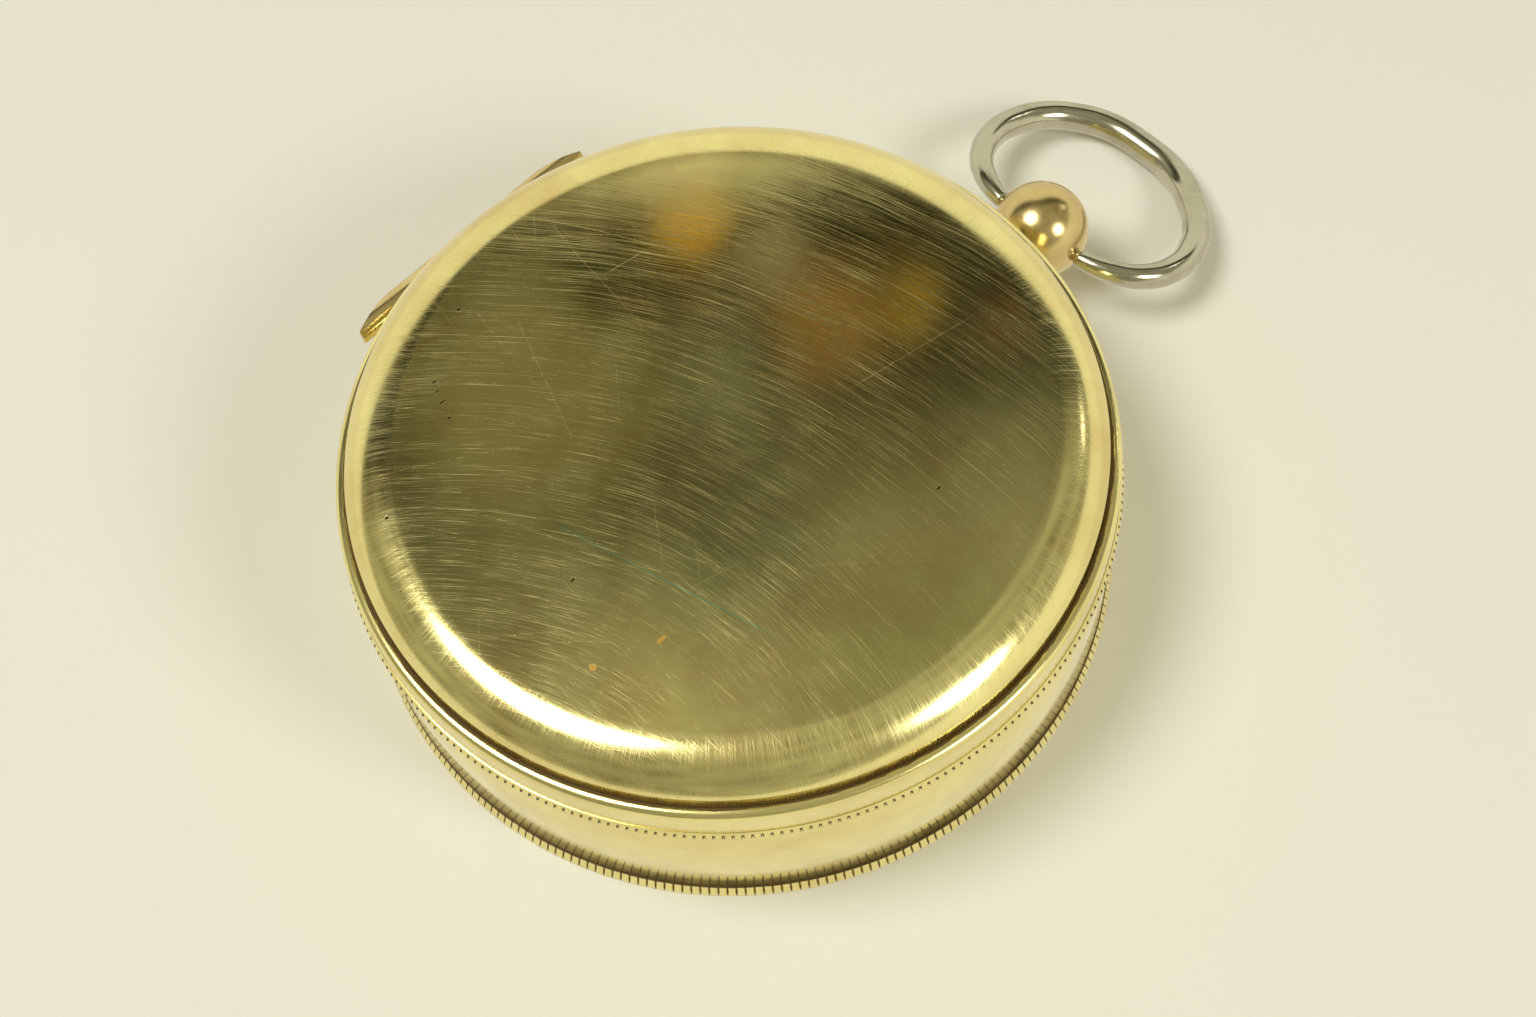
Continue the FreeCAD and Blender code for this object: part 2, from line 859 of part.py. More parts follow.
def pendant():
    nut_seat = BORE_RADIUS + " - nut_thickness"
    stud = rod(
        "stud_shaft",
        "stud_radius",
        "nut_thickness + wall_thickness + ball_reach - pendant_ball_radius + stud_depth",
        "0",
        nut_seat,
        "pendant_height",
        "y",
    )
    neck = rod(
        "stud_neck", "neck_radius", "ball_reach", "0", WALL_RADIUS + " - wall_thickness", "pendant_height", "y"
    )
    collar = rod(
        "stud_collar",
        "collar_radius",
        "collar_thickness + wall_thickness",
        "0",
        WALL_RADIUS + " - wall_thickness",
        "pendant_height",
        "y",
    )
    drum = rod("stud_drum", WALL_RADIUS, "split_height", "0", "0", "0")
    globe = document.addObject("Part::Sphere", "ball_blank")
    globe.setExpression("Radius", bound("pendant_ball_radius"))
    globe.Placement.Rotation = FreeCAD.Rotation(FreeCAD.Vector(0, 0, 1), 135)
    place(globe, "0", BALL_Y, "pendant_height")
    outside = less("stud_outside", fused("stud_outer", [neck, collar]), [drum, globe])
    keep(fused("pendant_stud", [outside, stud]), "pendant_stud")

    stud_bore = rod(
        "ball_stud_bore",
        "stud_radius",
        "pendant_ball_radius + stud_depth",
        "0",
        BALL_Y + " - 2 * pendant_ball_radius",
        "pendant_height",
        "y",
    )
    pin_bore = [
        rod(
            "ball_pin_bore_%d" % number,
            "bow_pin_radius + running_gap",
            "bow_pin_depth + overrun",
            x,
            BALL_Y,
            "pendant_height",
            "x",
        )
        for number, x in enumerate(
            ("pendant_ball_radius - bow_pin_depth", "0 - pendant_ball_radius - overrun"), start=1
        )
    ]
    keep(less("pendant_ball", globe, [stud_bore] + pin_bore), "pendant_ball")

    nut = document.addObject("Part::Prism", "nut_blank")
    nut.Polygon = 6
    nut.setExpression("Circumradius", bound("nut_width / sqrt(3)"))
    nut.setExpression("Height", bound("nut_thickness"))
    nut.Placement.Rotation = FreeCAD.Rotation(FreeCAD.Vector(1, 0, 0), -90)
    place(nut, "0", nut_seat, "pendant_height")
    bore_drum = rod("nut_drum", BORE_RADIUS, "split_height", "0", "0", "0")
    within = document.addObject("Part::Common", "nut_within")
    within.Base = nut
    within.Tool = bore_drum
    keep(less("pendant_nut", within, [stud_bore_for_nut()]), "pendant_nut")


def stud_bore_for_nut():
    return rod(
        "nut_bore",
        "stud_radius",
        "nut_thickness + 2 * overrun",
        "0",
        BORE_RADIUS + " - nut_thickness - overrun",
        "pendant_height",
        "y",
    )


def bow():
    """A tapered wire bow that droops from the ball until its far end is just off the table. Use
    has bent it, so that it leans to one side, more so further out."""
    droop = math.asin(amount("(pendant_height - bow_radius - bow_rest_gap) / bow_length"))
    centre = FreeCAD.Vector(0, amount(BALL_Y), amount("pendant_height"))
    outward = FreeCAD.Vector(0, math.cos(droop), -math.sin(droop))
    across = FreeCAD.Vector(1, 0, 0)
    normal = across.cross(outward)
    root = (amount("pendant_ball_radius + bow_gap"), 0)
    width, length = amount("bow_half_width"), amount("bow_length")
    lean = amount("bow_lean")
    half = [root] + [(a * width, b * length) for a, b in BOW_LINE_SHARES]
    line = half + [(0, length)] + [(-a, b) for a, b in reversed(half)]
    points = [centre + across * (a - lean * (b / length) ** 2) + outward * b for a, b in line]
    walked = [0]
    for here, there in zip(points, points[1:]):
        walked.append(walked[-1] + here.distanceToPoint(there))
    sections = []
    for index, point in enumerate(points):
        before = points[max(index - 1, 0)]
        after = points[min(index + 1, len(points) - 1)]
        heading = after - before
        if index in (0, len(points) - 1):
            heading = across * -1
        share = min(1, (1 - abs(2 * walked[index] / walked[-1] - 1)) / BOW_SWELL_SHARE)
        ring = document.addObject("Part::Circle", "bow_section_%d" % index)
        formula = "bow_end_radius + (bow_radius - bow_end_radius) * %.3f" % math.sqrt(share)
        ring.setExpression("Radius", bound(formula))
        turn = FreeCAD.Rotation(normal, FreeCAD.Vector(), heading, "ZXY")
        ring.Placement = FreeCAD.Placement(point, turn)
        sections.append(ring)
    wire = document.addObject("Part::Loft", "bow_wire")
    wire.Sections = sections
    wire.Solid = True
    pins = [
        rod(
            "bow_pin_%d" % number,
            "bow_pin_radius",
            "bow_pin_depth + bow_gap - running_gap + bow_end_radius",
            x,
            BALL_Y,
            "pendant_height",
            "x",
        )
        for number, x in enumerate(
            (
                "pendant_ball_radius - bow_pin_depth + running_gap",
                "0 - pendant_ball_radius - bow_gap - bow_end_radius",
            ),
            start=1,
        )
    ]
    keep(fused("bow", [wire] + pins), "bow")


def hinge():
    """Two outer knuckles on the case and a middle one on the lid. The ends of the barrel are filed
    round, in line with the case, and stay solid past the ends of the pin."""
    half_gap = "(middle_length / 2 + knuckle_gap)"
    outer_length = "(hinge_length / 2 - middle_length / 2 - knuckle_gap)"
    wall_core = rod("hinge_core", WALL_RADIUS, "split_height", "0", "0", "0")
    pin_place = (HINGE_X, "pin_inset - hinge_length / 2", HINGE_Z)
    pin_size = ("hinge_pin_radius", "hinge_length - 2 * pin_inset")
    knuckles = []
    for side, word in ((1, "front"), (-1, "back")):
        start = half_gap if side > 0 else "(0 - hinge_length / 2)"
        tube = rod("knuckle_" + word, "barrel_radius", outer_length, HINGE_X, start, HINGE_Z, "y")
        filed = document.addObject("Part::Common", "knuckle_filed_" + word)
        filed.Base = tube
        filed.Tool = rod(
            "filed_round_" + word,
            "case_radius + hinge_round",
            "split_height + hinge_rise + 2 * barrel_radius",
            "0",
            "0",
            "0",
        )
        web_start = half_gap if side > 0 else "(0 - middle_length / 2 - knuckle_gap - web_length)"
        web = block(
            "web_" + word,
            (HINGE_X, web_start, CASE_TOP + " - web_drop - web_thickness"),
            ("hinge_reach + wall_step + 2 * barrel_radius", "web_length", "web_thickness"),
        )
        web_outside = less("web_outside_" + word, web, [wall_core])
        solid = fused("knuckle_solid_" + word, [filed, web_outside])
        bore = rod("knuckle_bore_" + word, *pin_size, *pin_place, "y")
        knuckles.append(less("knuckle_bored_" + word, solid, [bore]))
    keep(grouped("case_knuckles", knuckles), "case_knuckles")
    keep(rod("hinge_pin", *pin_size, *pin_place, "y"), "hinge_pin")

    tube = rod(
        "lid_knuckle",
        "barrel_radius",
        "middle_length",
        HINGE_X,
        "0 - middle_length / 2",
        HINGE_Z,
        "y",
    )
    plate = block(
        "lid_leaf_plate",
        (HINGE_X, "0 - middle_length / 2", HINGE_Z),
        ("hinge_reach + leaf_depth", "middle_length", "leaf_height"),
    )
    bore = rod(
        "lid_knuckle_bore",
        "hinge_pin_radius + running_gap",
        "middle_length + 2 * overrun",
        HINGE_X,
        "0 - middle_length / 2 - overrun",
        HINGE_Z,
        "y",
    )
    keep(less("lid_leaf", fused("lid_leaf_solid", [tube, plate]), [bore]), "lid_leaf")


def lid():
    band = turned(
        "band_blank",
        [
            (BAND_INSIDE, MILLED_TOP),
            (BAND_RADIUS, MILLED_TOP),
            (BAND_RADIUS, BAND_TOP + " - band_round"),
            (BAND_RADIUS + " - band_round", BAND_TOP),
            (BAND_INSIDE, BAND_TOP),
            (BAND_INSIDE, LEDGE_TOP),
            (BAND_INSIDE + " - ledge_width", LEDGE_TOP),
            (BAND_INSIDE + " - ledge_width", LEDGE_FOOT),
            (BAND_INSIDE, LEDGE_FOOT),
        ],
        {2: ("band_round", "left")},
    )
    keep(less("lid_band", band, [hinge_room, leaf_room]), "lid_band")
    ring = turned(
        "milled_blank",
        [
            (BAND_INSIDE, LID_FOOT),
            ("case_radius", LID_FOOT),
            ("case_radius", MILLED_TOP),
            (BAND_INSIDE, MILLED_TOP),
        ],
    )
    keep(less("milled_lid_ring", ring, [hinge_room, leaf_room]), "milled_lid_ring")
    snap = turned(
        "snap_ring",
        [
            (SEAT_RADIUS + " - snap_gap - snap_thickness", "split_height - snap_drop"),
            (SEAT_RADIUS + " - snap_gap", "split_height - snap_drop"),
            (SEAT_RADIUS + " - snap_gap", LEDGE_FOOT),
            (SEAT_RADIUS + " - snap_gap - snap_thickness", LEDGE_FOOT),
        ],
    )
    keep(snap, "snap_ring")
    # The shoulder turns down by shoulder_turn degrees, and a small lip then meets the upright side.
    side_top = "(" + LEDGE_TOP + " + dome_side)"
    knee_reach = "(" + DOME_RADIUS + " - lip_radius * (1 - sin(shoulder_turn)))"
    knee_height = "(" + side_top + " + lip_radius * cos(shoulder_turn))"
    flat = "(" + knee_reach + " - shoulder_radius * sin(shoulder_turn))"
    top = "(" + knee_height + " + shoulder_radius * (1 - cos(shoulder_turn)))"
    crown_radius = "(" + flat + " ^ 2 + dome_crown ^ 2) / (2 * dome_crown)"
    inside = "(" + DOME_RADIUS + " - dome_wall)"
    bend = "(shoulder_radius - dome_wall)"
    drop = "sqrt(" + bend + " ^ 2 - (" + inside + " - " + flat + ") ^ 2)"
    dome = turned(
        "lid_dome",
        [
            (DOME_RADIUS, LEDGE_TOP),
            (DOME_RADIUS, side_top),
            (knee_reach, knee_height),
            (flat, top),
            ("0", top + " + dome_crown"),
            ("0", top + " + dome_crown - dome_wall"),
            (flat, top + " - dome_wall"),
            (inside, top + " - shoulder_radius + " + drop),
            (inside, LEDGE_TOP),
        ],
        {
            1: ("lip_radius", "left"),
            2: ("shoulder_radius", "left"),
            3: (crown_radius, "left"),
            5: (crown_radius, "right"),
            6: (bend, "right"),
        },
    )
    keep(dome, "lid_dome")


case_drum()
glazing()
dial()
pillars_and_screws()
pivot()
needle()
lock()
leaf_spring()
pendant()
bow()
hinge()
lid()
document.recompute()

for thing in document.Objects:
    if {"Invalid", "Error"} & set(thing.State):
        raise RuntimeError("%s failed: %s" % (thing.Name, thing.State))
for piece in pieces:
    if piece.Shape.isNull() or not piece.Shape.isValid() or piece.Shape.Volume <= 0:
        raise RuntimeError("%s has no valid shape" % piece.Label)

os.makedirs("parts", exist_ok=True)
for piece in pieces:
    piece.Shape.exportStep("parts/%s.step" % piece.Label)
    print("%-16s %2d solids %9.2f mm3" % (piece.Label, len(piece.Shape.Solids), piece.Shape.Volume))
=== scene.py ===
import json
import math
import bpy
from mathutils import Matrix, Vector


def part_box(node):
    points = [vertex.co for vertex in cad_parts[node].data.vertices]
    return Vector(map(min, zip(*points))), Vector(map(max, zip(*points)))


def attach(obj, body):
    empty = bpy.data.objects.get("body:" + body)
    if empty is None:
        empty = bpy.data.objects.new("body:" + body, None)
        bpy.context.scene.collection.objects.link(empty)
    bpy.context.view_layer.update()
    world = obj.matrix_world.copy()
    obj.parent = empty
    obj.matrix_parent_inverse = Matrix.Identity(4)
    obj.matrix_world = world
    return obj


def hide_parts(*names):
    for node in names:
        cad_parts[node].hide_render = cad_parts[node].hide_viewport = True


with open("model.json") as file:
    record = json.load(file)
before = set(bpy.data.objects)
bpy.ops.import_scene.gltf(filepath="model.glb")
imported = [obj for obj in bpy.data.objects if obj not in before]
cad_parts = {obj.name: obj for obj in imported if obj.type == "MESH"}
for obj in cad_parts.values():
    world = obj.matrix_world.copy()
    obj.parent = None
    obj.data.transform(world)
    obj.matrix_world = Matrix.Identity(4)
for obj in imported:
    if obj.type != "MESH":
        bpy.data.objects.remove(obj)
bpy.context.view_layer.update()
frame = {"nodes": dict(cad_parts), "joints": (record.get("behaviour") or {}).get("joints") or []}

from types import SimpleNamespace

import bmesh
import bpy
from mathutils import Matrix, Vector, noise

# A brass pocket compass in a closed hunter case. Sizes are in millimetres times MM, in the frame of
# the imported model: +Z up, the pendant along +Y, the hinge on the -X side.

MM = 0.001
IMAGE_SIZE = (1536, 1017)

# The camera of the photograph: where it stands, where it looks and how it leans.
CAMERA_PLACE = Vector((68.5, -50.3, 167.5)) * MM
CAMERA_RIGHT = Vector((0.7031, 0.7085, -0.0615))
CAMERA_UP = Vector((-0.6103, 0.6455, 0.4592))
CAMERA_LENS = 54.0
SENSOR = 36.0

joints = {joint["name"]: joint for joint in frame["joints"]}


def extent(node, axis, end):
    """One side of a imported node's box: end 0 is the low side and 1 the high side."""
    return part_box(node)[end]["xyz".index(axis)]


CASE_RADIUS = extent("base_plate", "x", 1)
WALL_RADIUS = extent("case_wall", "x", 1)
WALL_FOOT = extent("case_wall", "z", 0)
WALL_TOP = extent("case_wall", "z", 1)
BORE_RADIUS = WALL_RADIUS - 1.4 * MM
SEAT_RADIUS = WALL_RADIUS - 0.7 * MM
SEAT_HEIGHT = extent("bezel", "z", 0)
BEZEL_TOP = extent("bezel", "z", 1)
GLASS_RADIUS = extent("glass", "x", 1)
GLASS_FOOT = extent("glass", "z", 0)
GLASS_TOP = extent("glass", "z", 1)
GLASS_LAP = 1.0 * MM
TEETH = 272
MILLED_FOOT = extent("milled_lid_ring", "z", 0)
MILLED_TOP = extent("milled_lid_ring", "z", 1)
BAND_TOP = extent("lid_band", "z", 1)
BAND_RADIUS = extent("lid_band", "x", 1)
BAND_INSIDE = BAND_RADIUS - 0.75 * MM
LEDGE_INSIDE = BAND_INSIDE - 2.35 * MM
LEDGE_TOP = extent("lid_dome", "z", 0)
LEDGE_FOOT = LEDGE_TOP - 0.8 * MM
DOME_RADIUS = extent("lid_dome", "x", 1)
DOME_TOP = extent("lid_dome", "z", 1)
DOME_CROWN = 0.3 * MM
DOME_WALL = 0.7 * MM
SHOULDER_RADIUS = 5.0 * MM
SHOULDER_TURN = math.radians(55)
LIP_RADIUS = 0.3 * MM
KNEE_REACH = DOME_RADIUS - LIP_RADIUS * (1 - math.sin(SHOULDER_TURN))
FLAT_RADIUS = KNEE_REACH - SHOULDER_RADIUS * math.sin(SHOULDER_TURN)
CROWN_RADIUS = (FLAT_RADIUS ** 2 + DOME_CROWN ** 2) / (2 * DOME_CROWN)
HINGE = Vector(joints["lid_hinge"]["pos_m"])
BARREL_RADIUS = 1.0 * MM
HINGE_HALF = extent("case_knuckles", "y", 1)
MIDDLE_HALF = extent("lid_leaf", "y", 1)
BALL = Vector(joints["bow_swing"]["pos_m"])
BALL_RADIUS = 4.0 * MM
SHANK_RADIUS = 1.2 * MM
CARD_TOP = extent("dial_card", "z", 1)
CHAPTER_TOP = extent("chapter_ring", "z", 1)
CHAPTER_OUTER = extent("chapter_ring", "x", 1)
INK_THICKNESS = 0.004 * MM
# Corners closer than this are one corner.
WELD = 0.0005 * MM
# Heights closer than this are the same height.
SLACK = 0.0001 * MM


# Materials

def linear(hex_colour, strength=1.0):
    """A colour written as an sRGB hex value, in the linear light that the shaders read."""
    channels = [int(hex_colour[i:i + 2], 16) / 255 for i in (1, 3, 5)]
    lit = [c / 12.92 if c <= 0.04045 else ((c + 0.055) / 1.055) ** 2.4 for c in channels]
    return tuple(c * strength for c in lit) + (1.0,)


def feed(tree, node, links):
    """Fill a node's inputs. A key of links is an input's name or number, and its value is a number,
    a colour, a node or (node, output). A node alone gives the first of its outputs in use."""
    for key, value in links.items():
        if isinstance(value, bpy.types.Node):
            value = (value, next(n for n, output in enumerate(value.outputs) if output.enabled))
        if isinstance(value, tuple) and isinstance(value[0], bpy.types.Node):
            tree.links.new(value[0].outputs[value[1]], node.inputs[key])
        else:
            node.inputs[key].default_value = value


def add(tree, kind, links=None, stops=(), **settings):
    """One node with its inputs filled. Settings are attributes of the node, and stops are the two
    places and hex colours of a colour ramp."""
    made = tree.nodes.new("ShaderNode" + kind)
    for name, value in settings.items():
        setattr(made, name, value)
    for number, (position, colour) in enumerate(stops):
        made.color_ramp.elements[number].position = position
        made.color_ramp.elements[number].color = linear(colour)
    feed(tree, made, links or {})
    return made


def new_material(name, colour, metallic=0.0, roughness=0.5):
    material = bpy.data.materials.new(name)
    material.use_nodes = True
    tree = material.node_tree
    shader = tree.nodes["Principled BSDF"]
    feed(tree, shader, {"Base Color": linear(colour), "Metallic": metallic, "Roughness": roughness})
    return material, tree, shader


def polar(tree):
    """Object coordinates, whole and the way a lathe sees them: the distance from the axis, the
    height and the angle."""
    place = (add(tree, "TexCoord"), "Object")
    parts = add(tree, "SeparateXYZ", {0: place})
    flat = add(tree, "CombineXYZ", {0: (parts, 0), 1: (parts, 1)})
    reach = add(tree, "VectorMath", {0: flat}, operation="LENGTH")
    angle = add(tree, "Math", {0: (parts, 1), 1: (parts, 0)}, operation="ARCTAN2")
    return SimpleNamespace(place=place, reach=reach, height=(parts, 2), angle=angle)


def lathe_marks(tree, at, pitch):
    """Fine rings left by turning and by polishing on the lathe, as a grey value."""
    across = add(tree, "Math", {0: at.reach, 1: 1 / pitch}, operation="MULTIPLY")
    up = add(tree, "Math", {0: at.height, 1: 1 / pitch}, operation="MULTIPLY")
    slow = add(tree, "Math", {0: at.angle, 1: 1.5}, operation="MULTIPLY")
    vector = add(tree, "CombineXYZ", {0: across, 1: up, 2: slow})
    return add(tree, "TexNoise", {"Vector": vector, "Scale": 1.0, "Detail": 3.0})


def hairlines(tree, along, across, length, pitch, width, seed, share):
    """Fine parallel scratches. Along and across are nodes that give places in metres in the
    direction of the scratches and square to it. Each row of the pitch holds one line, which comes
    and goes along the row. Share is how much of the rows is scratched. The answer is 1 in a
    scratch and 0 beside it."""
    rows = add(tree, "Math", {0: across, 1: 1 / pitch, 2: seed}, operation="MULTIPLY_ADD")
    row = add(tree, "Math", {0: rows}, operation="FLOOR")
    inside = add(tree, "Math", {0: rows}, operation="FRACT")
    chance = add(tree, "TexWhiteNoise", {"W": row}, noise_dimensions="1D")
    dice = add(tree, "SeparateColor", {0: (chance, "Color")})
    middle = add(tree, "Math", {0: (dice, 0), 1: 0.6, 2: 0.2}, operation="MULTIPLY_ADD")
    beside = add(tree, "Math", {0: inside, 1: middle}, operation="SUBTRACT")
    away = add(tree, "Math", {0: beside}, operation="ABSOLUTE")
    half = width / pitch / 2
    line = add(tree, "MapRange", {"Value": away, "From Min": 1.3 * half, "From Max": 0.5 * half})
    far = add(tree, "Math", {0: along, 1: 1 / length}, operation="MULTIPLY")
    shifted = add(tree, "Math", {0: (dice, 1), 1: 57.0, 2: far}, operation="MULTIPLY_ADD")
    place = add(tree, "CombineXYZ", {0: shifted, 1: row})
    spell = add(tree, "TexNoise", {"Vector": place, "Scale": 1.0, "Detail": 1.0})
    start = 0.62 - 0.24 * share
    there = add(tree, "MapRange", {"Value": spell, "From Min": start, "From Max": start + 0.07})
    drawn = add(tree, "Math", {0: line, 1: there}, operation="MULTIPLY")
    depth = add(tree, "Math", {0: (dice, 2), 1: 0.7, 2: 0.3}, operation="MULTIPLY_ADD")
    return add(tree, "Math", {0: drawn, 1: depth}, operation="MULTIPLY")


def scaled(numbers):
    return [number * MM for number in numbers]


def along_arcs(tree, flat, centre):
    """Places on the lid as seen by a hand that wipes in arcs round a centre: how far along an arc,
    and how far from the centre, in metres."""
    usual_reach = 45 * MM
    away = add(tree, "VectorMath", {0: flat, 1: (*scaled(centre), 0.0)}, operation="SUBTRACT")
    parts = add(tree, "SeparateXYZ", {0: away})
    across = add(tree, "VectorMath", {0: away}, operation="LENGTH")
    turn = add(tree, "Math", {0: (parts, 0), 1: (parts, 1)}, operation="ARCTAN2")
    along = add(tree, "Math", {0: turn, 1: usual_reach}, operation="MULTIPLY")
    return along, across


def along_lines(tree, flat, degrees):
    """Places on the lid along and across straight lines that stand at an angle to +X."""
    turned = add(tree, "Mapping", {"Vector": flat, "Rotation": (0, 0, -math.radians(degrees))})
    parts = add(tree, "SeparateXYZ", {0: turned})
    return (parts, 0), (parts, 1)


def polished_brass(name, colour, dull, roughness=(0.22, 0.11), dirt=None):
    """Old polished brass: mirror-like, with a cloudy film of handling that is a little rougher,
    hair-fine turning rings and short scratches round it. Dirt is a function that makes a node which
    is 0 where dirt has settled, and at the case's foot where painted shade is laid, and 1 elsewhere."""
    hazy, shiny = roughness
    material, tree, shader = new_material(name, colour, metallic=1.0, roughness=shiny)
    at = polar(tree)
    film = add(tree, "TexNoise", {"Vector": at.place, "Scale": 160.0, "Detail": 4.0, "Roughness": 0.6})
    tint = add(tree, "ValToRGB", {0: film}, stops=[(0.3, dull), (0.62, colour)])
    marks = lathe_marks(tree, at, 0.12 * MM)
    round_way = add(tree, "Math", {0: at.angle, 1: CASE_RADIUS}, operation="MULTIPLY")
    nicks = hairlines(tree, round_way, at.height, 5 * MM, 0.5 * MM, 0.06 * MM, 0.37, 0.35)
    span = {"From Min": 0.3, "From Max": 0.7, "To Min": hazy, "To Max": shiny}
    rough = add(tree, "MapRange", {"Value": film, **span})
    rougher = add(tree, "Math", {0: marks, 1: 0.07, 2: rough}, operation="MULTIPLY_ADD")
    roughest = add(tree, "Math", {0: nicks, 1: 0.1, 2: rougher}, operation="MULTIPLY_ADD")
    height = add(tree, "Math", {0: nicks, 1: -0.5, 2: marks}, operation="MULTIPLY_ADD")
    bump = add(tree, "Bump", {"Height": height, "Strength": 0.1, "Distance": 0.01 * MM})
    feed(tree, shader, {"Base Color": tint, "Roughness": roughest, "Normal": bump})
    if dirt:
        settle(tree, shader, dirt(tree, at), tint, roughest)
    return material


def settle(tree, shader, bare, tint, rough):
    """Lay brown over a metal where the mask is 0: rough and no longer metallic. It is dirt, and at the
    wall's foot and on the ledge beside it painted shade.
    """
    colour = add(tree, "Mix", {0: bare, 6: linear(GRIME), 7: tint}, data_type="RGBA")
    dull = add(tree, "Mix", {0: bare, 2: 0.7, 3: rough}, data_type="FLOAT")
    feed(tree, shader, {"Base Color": colour, "Roughness": dull, "Metallic": bare})


def dirt_in_notches(top, share, gap=0.0):
    """Dirt stays in the bottom of the milled notches below top, where no cloth reaches; within the radius
    of gap an uneven dark brown is laid as painted shade. Share is how far the dirt reaches to each side, in
    notches."""

    def settled(tree, at):
        turns = add(tree, "Math", {0: at.angle, 1: TEETH / (2 * math.pi)}, operation="MULTIPLY")
        beside = add(tree, "Math", {0: turns, 1: 0.5}, operation="PINGPONG")
        reached = {"From Min": 0.7 * share, "From Max": 1.3 * share}
        between = add(tree, "MapRange", {"Value": beside, **reached})
        upper = add(tree, "MapRange", {"Value": at.height, "From Min": top - 0.03 * MM, "From Max": top})
        either = add(tree, "Math", {0: between, 1: upper}, operation="MAXIMUM")
        creep = add(tree, "TexNoise", {"Vector": at.place, "Scale": 1200.0, "Detail": 3.0})
        # Within the radius of gap the brass is laid dark brown unevenly: painted shade where the wall
        # stands on the ledge.
        edge = add(tree, "Math", {0: creep, 1: 0.06 * MM, 2: gap}, operation="MULTIPLY_ADD")
        beyond = add(tree, "Math", {0: at.reach, 1: edge}, operation="SUBTRACT")
        wiped = {"From Min": -0.02 * MM, "From Max": 0.03 * MM}
        unshaded = add(tree, "MapRange", {"Value": beyond, **wiped})
        return add(tree, "Math", {0: either, 1: unshaded}, operation="MINIMUM")

    return settled


def dirt_in_groove(tree, at):
    """Dirt fills the groove round the plate and creeps unevenly over the band's inner edge."""
    edge_at = BAND_INSIDE - 0.12 * MM
    creep = add(tree, "TexNoise", {"Vector": at.place, "Scale": 900.0, "Detail": 3.0})
    edge = add(tree, "Math", {0: creep, 1: 0.4 * MM, 2: edge_at}, operation="MULTIPLY_ADD")
    gap = add(tree, "Math", {0: at.reach, 1: edge}, operation="SUBTRACT")
    return add(tree, "MapRange", {"Value": gap, "From Min": -0.02 * MM, "From Max": 0.06 * MM})


def dirt_at_foot(tree, at):
    """Painted shade in the undercut at the foot of the wall: the brass there is laid dark brown."""
    wiped = {"From Min": WALL_FOOT + 0.14 * MM, "From Max": WALL_FOOT + 0.2 * MM}
    return add(tree, "MapRange", {"Value": at.height, **wiped})


def spot(tree, place, centre, size, ragged=0.0):
    """A round or oval mark on the lid: 1 inside and 0 outside. Ragged breaks up its edge."""
    away = add(tree, "VectorMath", {0: place, 1: (*scaled(centre), 0.0)}, operation="SUBTRACT")
    wide, tall = scaled(size)
    oval = add(tree, "VectorMath", {0: away, 1: (1 / wide, 1 / tall, 0.0)}, operation="MULTIPLY")
    distance = add(tree, "VectorMath", {0: oval}, operation="LENGTH")
    if ragged:
        rag = add(tree, "TexNoise", {"Vector": place, "Scale": 2200.0, "Detail": 3.0})
        distance = add(tree, "Math", {0: rag, 1: ragged, 2: distance}, operation="MULTIPLY_ADD")
    edge = {"From Min": 1.0 + ragged / 2, "From Max": 0.6 + ragged / 2}
    return add(tree, "MapRange", {"Value": distance, **edge}, interpolation_type="SMOOTHSTEP")


def stroke(tree, place, start, end, width):
    """One straight scratch on the lid from start to end: 1 on it and 0 beside it."""
    first, last, wide = Vector(scaled(start)), Vector(scaled(end)), width * MM
    half = (last - first).length / 2
    along = (last - first).normalized()
    away = add(tree, "VectorMath", {0: place, 1: (*first, 0.0)}, operation="SUBTRACT")
    side = add(tree, "VectorMath", {0: away, 1: (-along.y, along.x, 0.0)}, operation="DOT_PRODUCT")
    far = add(tree, "VectorMath", {0: away, 1: (along.x, along.y, 0.0)}, operation="DOT_PRODUCT")
    beside = add(tree, "Math", {0: side}, operation="ABSOLUTE")
    line = add(tree, "MapRange", {"Value": beside, "From Min": wide, "From Max": 0.3 * wide})
    middle = add(tree, "Math", {0: far, 1: half}, operation="SUBTRACT")
    reach = add(tree, "Math", {0: middle}, operation="ABSOLUTE")
    ends = add(tree, "MapRange", {"Value": reach, "From Min": half, "From Max": half - 1.5 * MM})
    return add(tree, "Math", {0: line, 1: ends}, operation="MULTIPLY")


def greatest(tree, nodes):
    total = nodes[0]
    for other in nodes[1:]:
        total = add(tree, "Math", {0: total, 1: other}, operation="MAXIMUM")
    return total


# Marks on the lid, in millimetres from its middle. The scratches of years run in arcs about points
# beside the lid, the way a thumb wipes: each row of WIPES is a centre, the length, pitch and width of
# its scratches, and how much of the lid they cover.
WIPES = (
    ((14.0, -44.0), (36.0, 0.17, 0.045), 0.60),
    ((18.0, -50.0), (46.0, 0.22, 0.05), 0.50),
    ((8.0, -40.0), (30.0, 0.2, 0.035), 0.45),
    ((24.0, -41.0), (26.0, 0.3, 0.045), 0.35),
    ((14.0, -58.0), (40.0, 0.5, 0.06), 0.30),
)
# Straight scratches across them: their angle, then the same.
CROSSINGS = (
    (24.0, (24.0, 0.9, 0.04), 0.12),
    (72.0, (16.0, 1.3, 0.035), 0.10),
    (-38.0, (18.0, 1.0, 0.04), 0.14),
    (-8.0, (26.0, 0.6, 0.04), 0.24),
)
